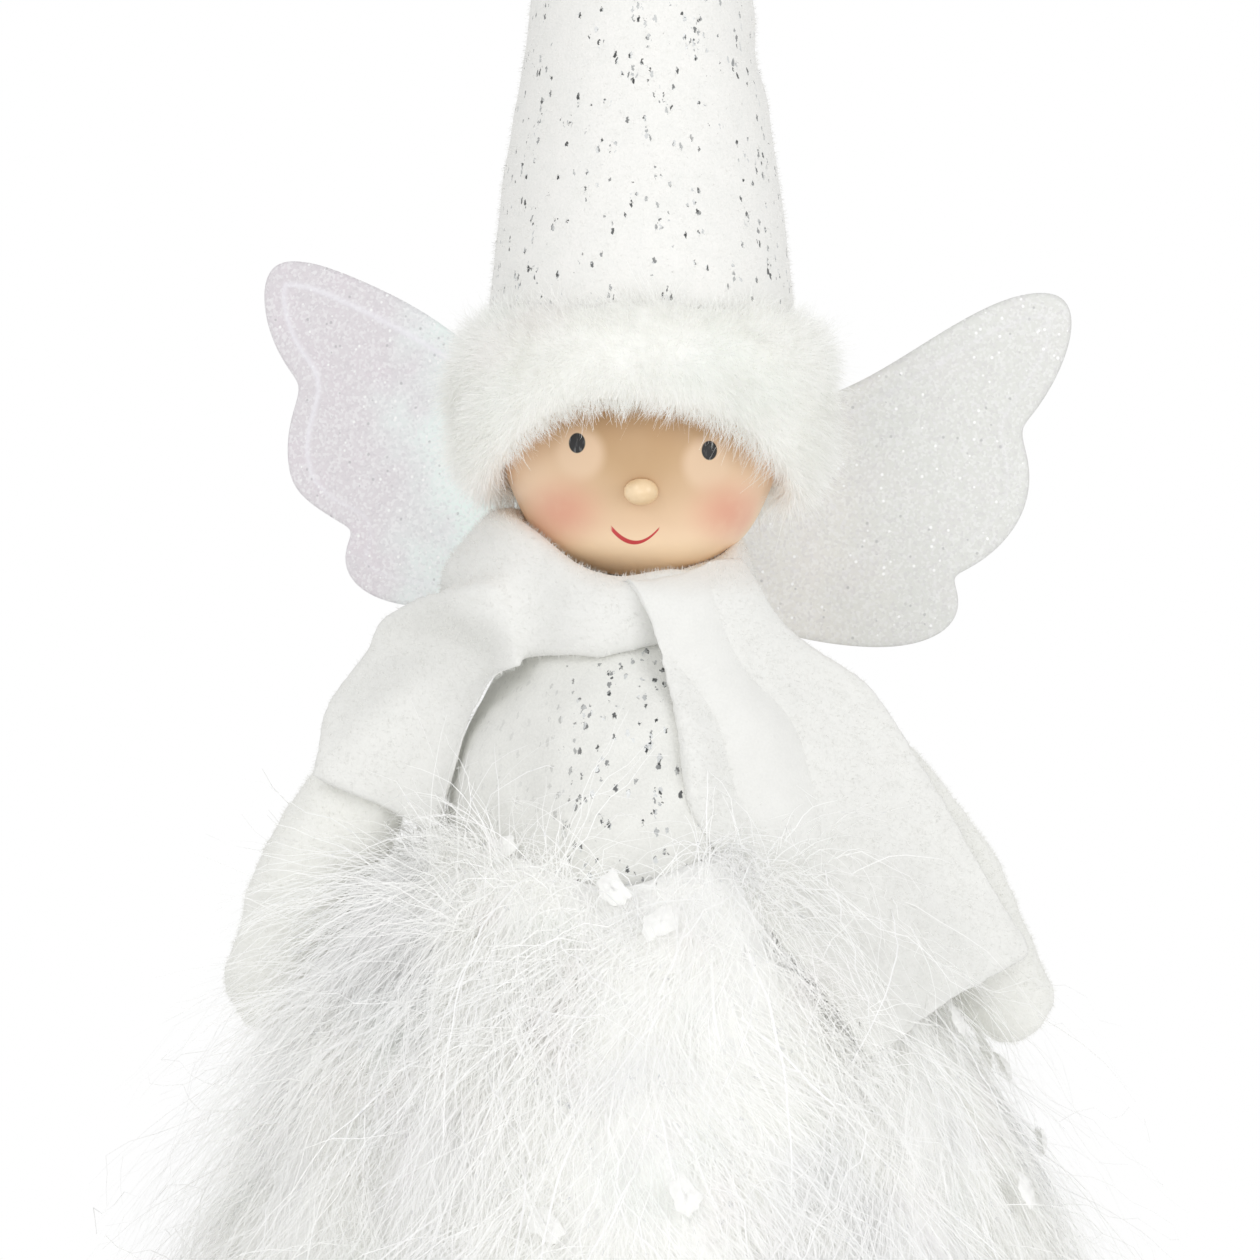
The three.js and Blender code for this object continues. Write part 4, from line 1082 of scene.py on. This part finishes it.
def hang(piece, cloth):
    """Gives a piece of the scarf its fuzz, and bakes the placement of both into their meshes."""
    fuzz = nap(piece.name + "_nap", piece, NAP_COUNT)
    dress(fuzz, cloth, "fleece", None)
    for part in (piece, fuzz):
        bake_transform(part)


def scarf_roll():
    """The roll round the neck and the right tail, as one piece of cloth in soft folds."""
    roll = soft_copy("scarf_roll", 1.0, 12, "scarf_wrap", "scarf_right_tail")
    places, normals = points_of(roll)
    x, y, z = places.T
    radius = np.hypot(x, y)
    section = np.arctan2(z - SCARF_Z, radius - SCARF_RADIUS)
    folds = ramp(36 - radius, 0, 8) * (0.6 * np.cos(3 * section + 2 * np.arctan2(y, x)) - 0.4)
    folds += 0.5 * waves(places, 26, 51)
    places = wrap_shape(places + normals * folds[:, None])
    move_points(roll, places)
    joint = bell(places[:, 0], -25, 6) * ramp(-places[:, 1], 0, 8)
    relax(roll, 60, np.maximum(0.06, joint))
    return roll


def scarf_tail():
    """The left tail, smoothed on its two faces, folded and led to its place."""
    tail = soft_copy("scarf_tail", 0.9, 12, "scarf_left_tail")
    relax(tail, 60, on_a_face(tail))
    places, normals = points_of(tail)
    move_points(tail, tail_shape(places + normals * tail_folds(places)[:, None]))
    relax(tail, 16, 0.3 + 0.7 * on_a_face(tail))
    return tail


def on_a_face(obj):
    """Which points lie on the front or back of a sheet, and not on its rim."""
    return ramp(np.abs(points_of(obj)[1][:, 1]), 0.3, 0.7)


def wrap_shape(places):
    """Shapes the roll to the face and the shoulder, and lets it fall to the right tail's hem."""
    x, y, z = places.T
    shaped = places.copy()
    front = ramp(-y, -6, 4)
    # Upper edge: up beside the jaw, down under the chin and beside it
    upper = ramp(z, 219, 229) * front
    shaped[:, 2] += JAW_RISE * ramp(z, 224, 236) * ramp(-4 - x, 8, 26)
    shaped[:, 2] -= (CHIN_DROP * bell(x, -5, 9) + CHEEK_DROP * bell(x, 17, 8)) * upper
    # Lower edge: falling to the right, with its corner at the tail rounded off
    low = ramp(218 - z, 0, 8) * ramp(z, 198, 206) * front
    shaped[:, 2] -= WRAP_FALL * low * ramp(-x, 2, 24) * ramp(x, -34, -26)
    corner = np.maximum(0, np.interp(x, *WRAP_EDGE) - shaped[:, 2])
    shaped[:, 2] += 0.95 * corner * ramp(x, -44, -38) * ramp(-x, 6, 16) * front
    # Shoulder and knot
    shaped[:, 0] -= SHOULDER_FLARE * ramp(236 - z, 0, 10) * ramp(z, 210, 222) * ramp(-x, 22, 36)
    shaped[:, 0] -= SHOULDER_BULGE * ramp(z, 182, 202) * ramp(230 - z, 0, 14) * ramp(-x, 36, 54)
    shaped[:, 0] -= KNOT_DRAW * ramp(x, 16, 28) * ramp(z, 214, 224)
    # Right tail: its inner edge and its hem
    inner = ramp(x, -62, -44) * ramp(-x, 32, 40) * ramp(206 - z, 0, 8)
    shaped[:, 0] += TAIL_SPREAD * inner * ramp(z, 176, 192)
    shaped[:, 2] += ramp(200 - z, 0, 20) * np.interp(x, HEM_CORNERS, HEM_TILT)
    shaped[:, 0] -= HEM_CORNER_PULL * ramp(192 - z, 0, 16) * ramp(x, -62, -46)
    return shaped


def tail_shape(places):
    """Leads the left tail's top back under the chin, swings its inner edge out and lays it in the pile."""
    x, y, z = places.T
    along, across = tail_way(places)
    rise = (0.5 + 0.27 * np.clip(x + 4, 0, 20)) * ramp(z, 214, 227)
    full = TAIL_FULLNESS * ramp(along, 18, 52) * ramp(104 - along, 0, 44)
    full += NECK_FULLNESS * ramp(36 - along, 0, 22)
    swung = 3 * ramp(z, 208, 226) * ramp(12 - x, 0, 12) + full * ramp(6 - across, 0, 22)
    back = TAIL_LEAN * ramp(z + rise, 222, 234)
    back += EDGE_SINK * ramp(-across, 10, 20) * ramp(along, 36, 60)
    return np.column_stack([x - swung, y + back, z + rise])


def nap(name, cloth, count, lengths=NAP_LENGTH):
    """Short fuzz that stands off a piece of cloth."""
    roots, out = scatter(cloth, count)
    heading = out + rng.normal(0, 0.5, (count, 3))
    paths = grow(roots, heading, rng.uniform(*lengths, count), 3, np.full(count, 0.1), -out * 0.2)
    return ribbons(name, paths, np.full(count, NAP_WIDTH), out)


def tail_way(places):
    """How far down the left tail a place lies from its knot, and how far to its outer side."""
    sine, cosine = math.sin(math.radians(TAIL_ANGLE)), math.cos(math.radians(TAIL_ANGLE))
    from_knot = places[:, [0, 2]] - np.array(TAIL_KNOT)
    return from_knot @ np.array([sine, -cosine]), from_knot @ np.array([cosine, sine])


def tail_folds(places):
    """Rise of the left tail's cloth: a valley beside its middle, a ridge past it and a curled inner edge."""
    along, across = tail_way(places)
    fade = 1 - 0.8 * ramp(along, 10, 95)
    front = ramp(-places[:, 1], 4, 16)
    folds = sum(rise * bell(across, middle, width) for rise, middle, width in TAIL_FOLDS)
    return front * fade * folds + 0.4 * waves(places, 30, 61)


def bezier(points, steps):
    a, b, c, d = (np.array(p, dtype=float) for p in points)
    t = np.linspace(0, 1, steps, endpoint=False)[:, None]
    return (1 - t) ** 3 * a + 3 * (1 - t) ** 2 * t * b + 3 * (1 - t) * t ** 2 * c + t ** 3 * d


def wing_outline():
    """Sewn edge, then lower, middle and upper lobe with two notches, in millimetres from the seam."""
    start = (0, -WING_SEAM / 2)
    curves = []
    for bend in WING_BENDS:
        places = [(x * WING_REACH, y * (WING_RISE if y > 0 else WING_DROP)) for x, y in bend]
        curves.append(bezier((start, *places), 40))
        start = places[-1]
    line = np.concatenate([*curves, [start]])
    for _ in range(8):
        line[1:-1] = 0.5 * line[1:-1] + 0.25 * (line[:-2] + line[2:])
    return line


def distance_to_line(points, line):
    """Distance from each point to a closed line of straight parts."""
    best = np.full(len(points), 1e9)
    for a, b in zip(line, np.roll(line, -1, axis=0)):
        along = b - a
        t = np.clip(((points - a) @ along) / max(along @ along, 1e-9), 0, 1)
        best = np.minimum(best, np.linalg.norm(points - a - t[:, None] * along, axis=1))
    return best


def wing_sheet():
    """Flat mesh of one wing: points, triangles, distances from the rim, number of rim points."""
    rim = wing_outline()
    rows = np.arange(-WING_DROP - 2, WING_RISE + 2, WING_STEP * 0.866)
    columns = np.arange(0, WING_REACH + 4, WING_STEP)
    grid = np.array([(x + (i % 2) * WING_STEP / 2, y) for i, y in enumerate(rows) for x in columns])
    grid = grid[distance_to_line(grid, rim) > WING_STEP * 0.6]
    every = np.concatenate([rim, grid])
    _, _, faces, *_ = delaunay_2d_cdt([tuple(p) for p in every], [], [list(range(len(rim)))], 1, 1e-6)
    used, faces = np.unique(faces, return_inverse=True)
    flat = every[used]
    return flat, faces.reshape(-1, 3), distance_to_line(flat, rim), len(rim)


def make_wing(name, side, sheet, material):
    """One wing: two faces of the sheet and a wall round their rim, turned about the seam into place."""
    flat, faces, edge, rim = sheet
    half = WING_HALF_THICKNESS * np.sqrt(np.clip(edge / 1.1, 0.02, 1))
    line = bell(edge, WING_LINE, WING_LINE_WIDTH) * ramp(flat[:, 0], 20, 44)
    line *= 0.3 + 0.7 * ramp(flat[:, 1], -6, 24)
    if side < 0:
        flat = right_wing_shape(flat)
    x, z = flat.T
    past = x - WING_BEND_AT
    bend = WING_BEND - 0.08 * (np.hypot(past, 3) - 3) + 0.02 * past
    bend += 0.7 * waves(np.column_stack([x, z, np.zeros(len(x))]), 70, 80 + side)
    bend = bend * ramp(x, 0, 14) - WING_LINE_RISE * line
    front = np.column_stack([side * x, bend - half, z])
    back = np.column_stack([side * x, bend + half, z])
    count = len(flat)
    a = np.arange(rim)
    b = np.roll(a, -1)
    wall = np.concatenate([np.column_stack([b + count, b, a]), np.column_stack([a + count, b + count, a])])
    every = np.concatenate([faces, faces[:, ::-1] + count, wall])
    if side < 0:
        every = every[:, ::-1]
    wing = new_object(name + "_sheet", np.concatenate([front, back]), every)
    wing.data.transform(wing_hinge(side))
    mark = wing.data.attributes.new("line", "FLOAT", "POINT")
    mark.data.foreach_set("value", np.tile(line, 2).astype(np.float32))
    dress(wing, material, "glitter_sheet", name, name)


def wing_hinge(side):
    """Place and turn of a wing's seam on the back."""
    hinge = Matrix.Translation((0, 0, WING_Z * MM)) @ Matrix.Rotation(math.radians(WING_ROLL), 4, "Y")
    hinge = hinge @ Matrix.Translation((side * WING_HINGE_X * MM, WING_HINGE_Y * MM, 0))
    return hinge @ Matrix.Rotation(side * math.radians(WING_FOLDS[side]), 4, "Z")


def right_wing_shape(flat):
    """The right wing reaches a little further, bows up along its top and carries its lower lobes higher."""
    x, y = flat.T
    out = ramp(x, 4, 34)
    bow = WING_TOP_BOW * bell(x / WING_REACH, 0.5, 0.24) * ramp(y, 0, 0.6 * WING_RISE)
    notch = WING_NOTCH_LIFT * bell(y, 31, 12) * ramp(x, 0.6 * WING_REACH, 0.85 * WING_REACH)
    lobes = LOWER_LOBE_LIFT * ramp(14 - y, 0, 18) * out
    return np.column_stack([x * (1 + 0.012 * out), y + bow + notch + lobes])


def make_wings():
    sheet = wing_sheet()
    # Both wings are one glitter cloth. Their two colourings are painted light and sheen: the left wing is
    # greyer because it turns from the light, and the right wing has a lilac and mint sheen
    grey = wing_material("glitter_left", srgb(223, 224, 220), srgb(232, 230, 225), 0.06, 0.28, 0.2)
    lilac = wing_material("glitter_right", srgb(227, 222, 226), srgb(243, 255, 251), 0.14, 0.45, 0.78)
    make_wing("left_wing", 1, sheet, grey)
    make_wing("right_wing", -1, sheet, lilac)
    tab = soft_copy("wing_tab_felt", 0.9, 3, "wing_tab")
    dress(tab, felt_material(), "felt", "body", "wing_tab")


def make_inside():
    """The pieces that do not show: they keep their solids' shape, or are softened where they are stuffed."""
    foam = grained_material("foam", srgb(248, 248, 246), srgb(236, 236, 234), 420, 0.8, 0.4)
    board = grained_material("board", srgb(168, 150, 118), srgb(138, 120, 92), 500, 0.75, 0.2)
    beech = grained_material("beech", srgb(214, 178, 128), srgb(186, 146, 98), 320, 0.5, 0.1, (1, 1, 0.08))
    kept = {"base_board": board, "body_core": foam, "chest_block": foam, "neck_stick": beech}
    for node, material in kept.items():
        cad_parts[node].data.materials.clear()
        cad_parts[node].data.materials.append(material)
    felt = soft_copy("base_felt_disc", 0.8, 2, "base_felt")
    dress(felt, felt_material(), "felt", "body", "base_felt")
    bag = soft_copy("ballast_sack", 2.2, 6, "ballast_bag")
    sacking = grained_material("sacking", srgb(212, 200, 174), srgb(190, 176, 146), 900, 0.9, 0.3)
    dress(bag, sacking, "sand_bag", "body", "ballast_bag")
    fill = soft_copy("hat_fill", 2.2, 6, "hat_filling")
    wad = grained_material("fibre_fill", srgb(250, 250, 248), srgb(238, 238, 236), 600, 0.9, 0.6, (1, 1, 0.4))
    dress(fill, wad, "fibre_fill", "body", "hat_filling")


# Stage


def make_stage():
    floor = turned("floor", [(radius, 0) for radius in np.linspace(0.5, FLOOR_RADIUS, 12)], 96)
    paint = Paint("floor")
    tone = paint.mix(paint.mottled(40, 3), srgb(250, 250, 249), srgb(253, 253, 252))
    paint.set(Base_Color=tone, Roughness=0.9)
    floor.data.materials.append(paint.material)


def make_world():
    """Even studio light, with plain white behind the object."""
    world = bpy.data.worlds.new("studio")
    bpy.context.scene.world = world
    tree = Nodes(world)
    rays = tree.add("LightPath").outputs
    seen = tree.math("MAXIMUM", rays["Is Camera Ray"], rays["Is Glossy Ray"])
    seen = tree.math("MAXIMUM", seen, rays["Is Transmission Ray"])
    light = tree.nodes["Background"].inputs
    tree.put(light["Color"], (1, 1, 1, 1))
    tree.put(light["Strength"], tree.range(seen, 0.0, 1.0, WORLD_LIGHT, 1.0))


def make_lamp(name, place, size, watts):
    """A large soft lamp that looks at the chest."""
    lamp = bpy.data.lights.new(name, "AREA")
    lamp.shape = "DISK"
    lamp.size = size
    lamp.energy = watts
    back = unit(np.array(place) - np.array(LAMP_AIM))
    side = unit(np.cross(UP, back))
    rows = np.column_stack([side, np.cross(back, side), back, place])
    link(name, lamp).matrix_world = Matrix([*rows.tolist(), (0, 0, 0, 1)])


def make_camera():
    """Level view from the front."""
    camera = bpy.data.cameras.new("camera")
    camera.sensor_width = SENSOR_WIDTH
    camera.lens = SENSOR_WIDTH * -CAMERA_PLACE[1] / FRAME_WIDTH
    camera.clip_start = 0.01
    obj = link("camera", camera)
    obj.location = [length * MM for length in CAMERA_PLACE]
    obj.rotation_euler = (math.pi / 2, 0, 0)
    bpy.context.scene.camera = obj


def main():
    scene = bpy.context.scene
    scene.view_settings.view_transform = "Standard"
    scene.cycles.max_bounces = 16
    scene.cycles.diffuse_bounces = 14
    make_camera()
    make_stage()
    make_world()
    for name, lamp in LAMPS.items():
        make_lamp(name, *lamp)
    make_inside()
    make_skirt()
    make_chips()
    make_bodice()
    make_arm("left_arm", 43)
    make_arm("right_arm", 47)
    make_scarf()
    make_head()
    make_hat()
    make_brim()
    make_wings()


main()
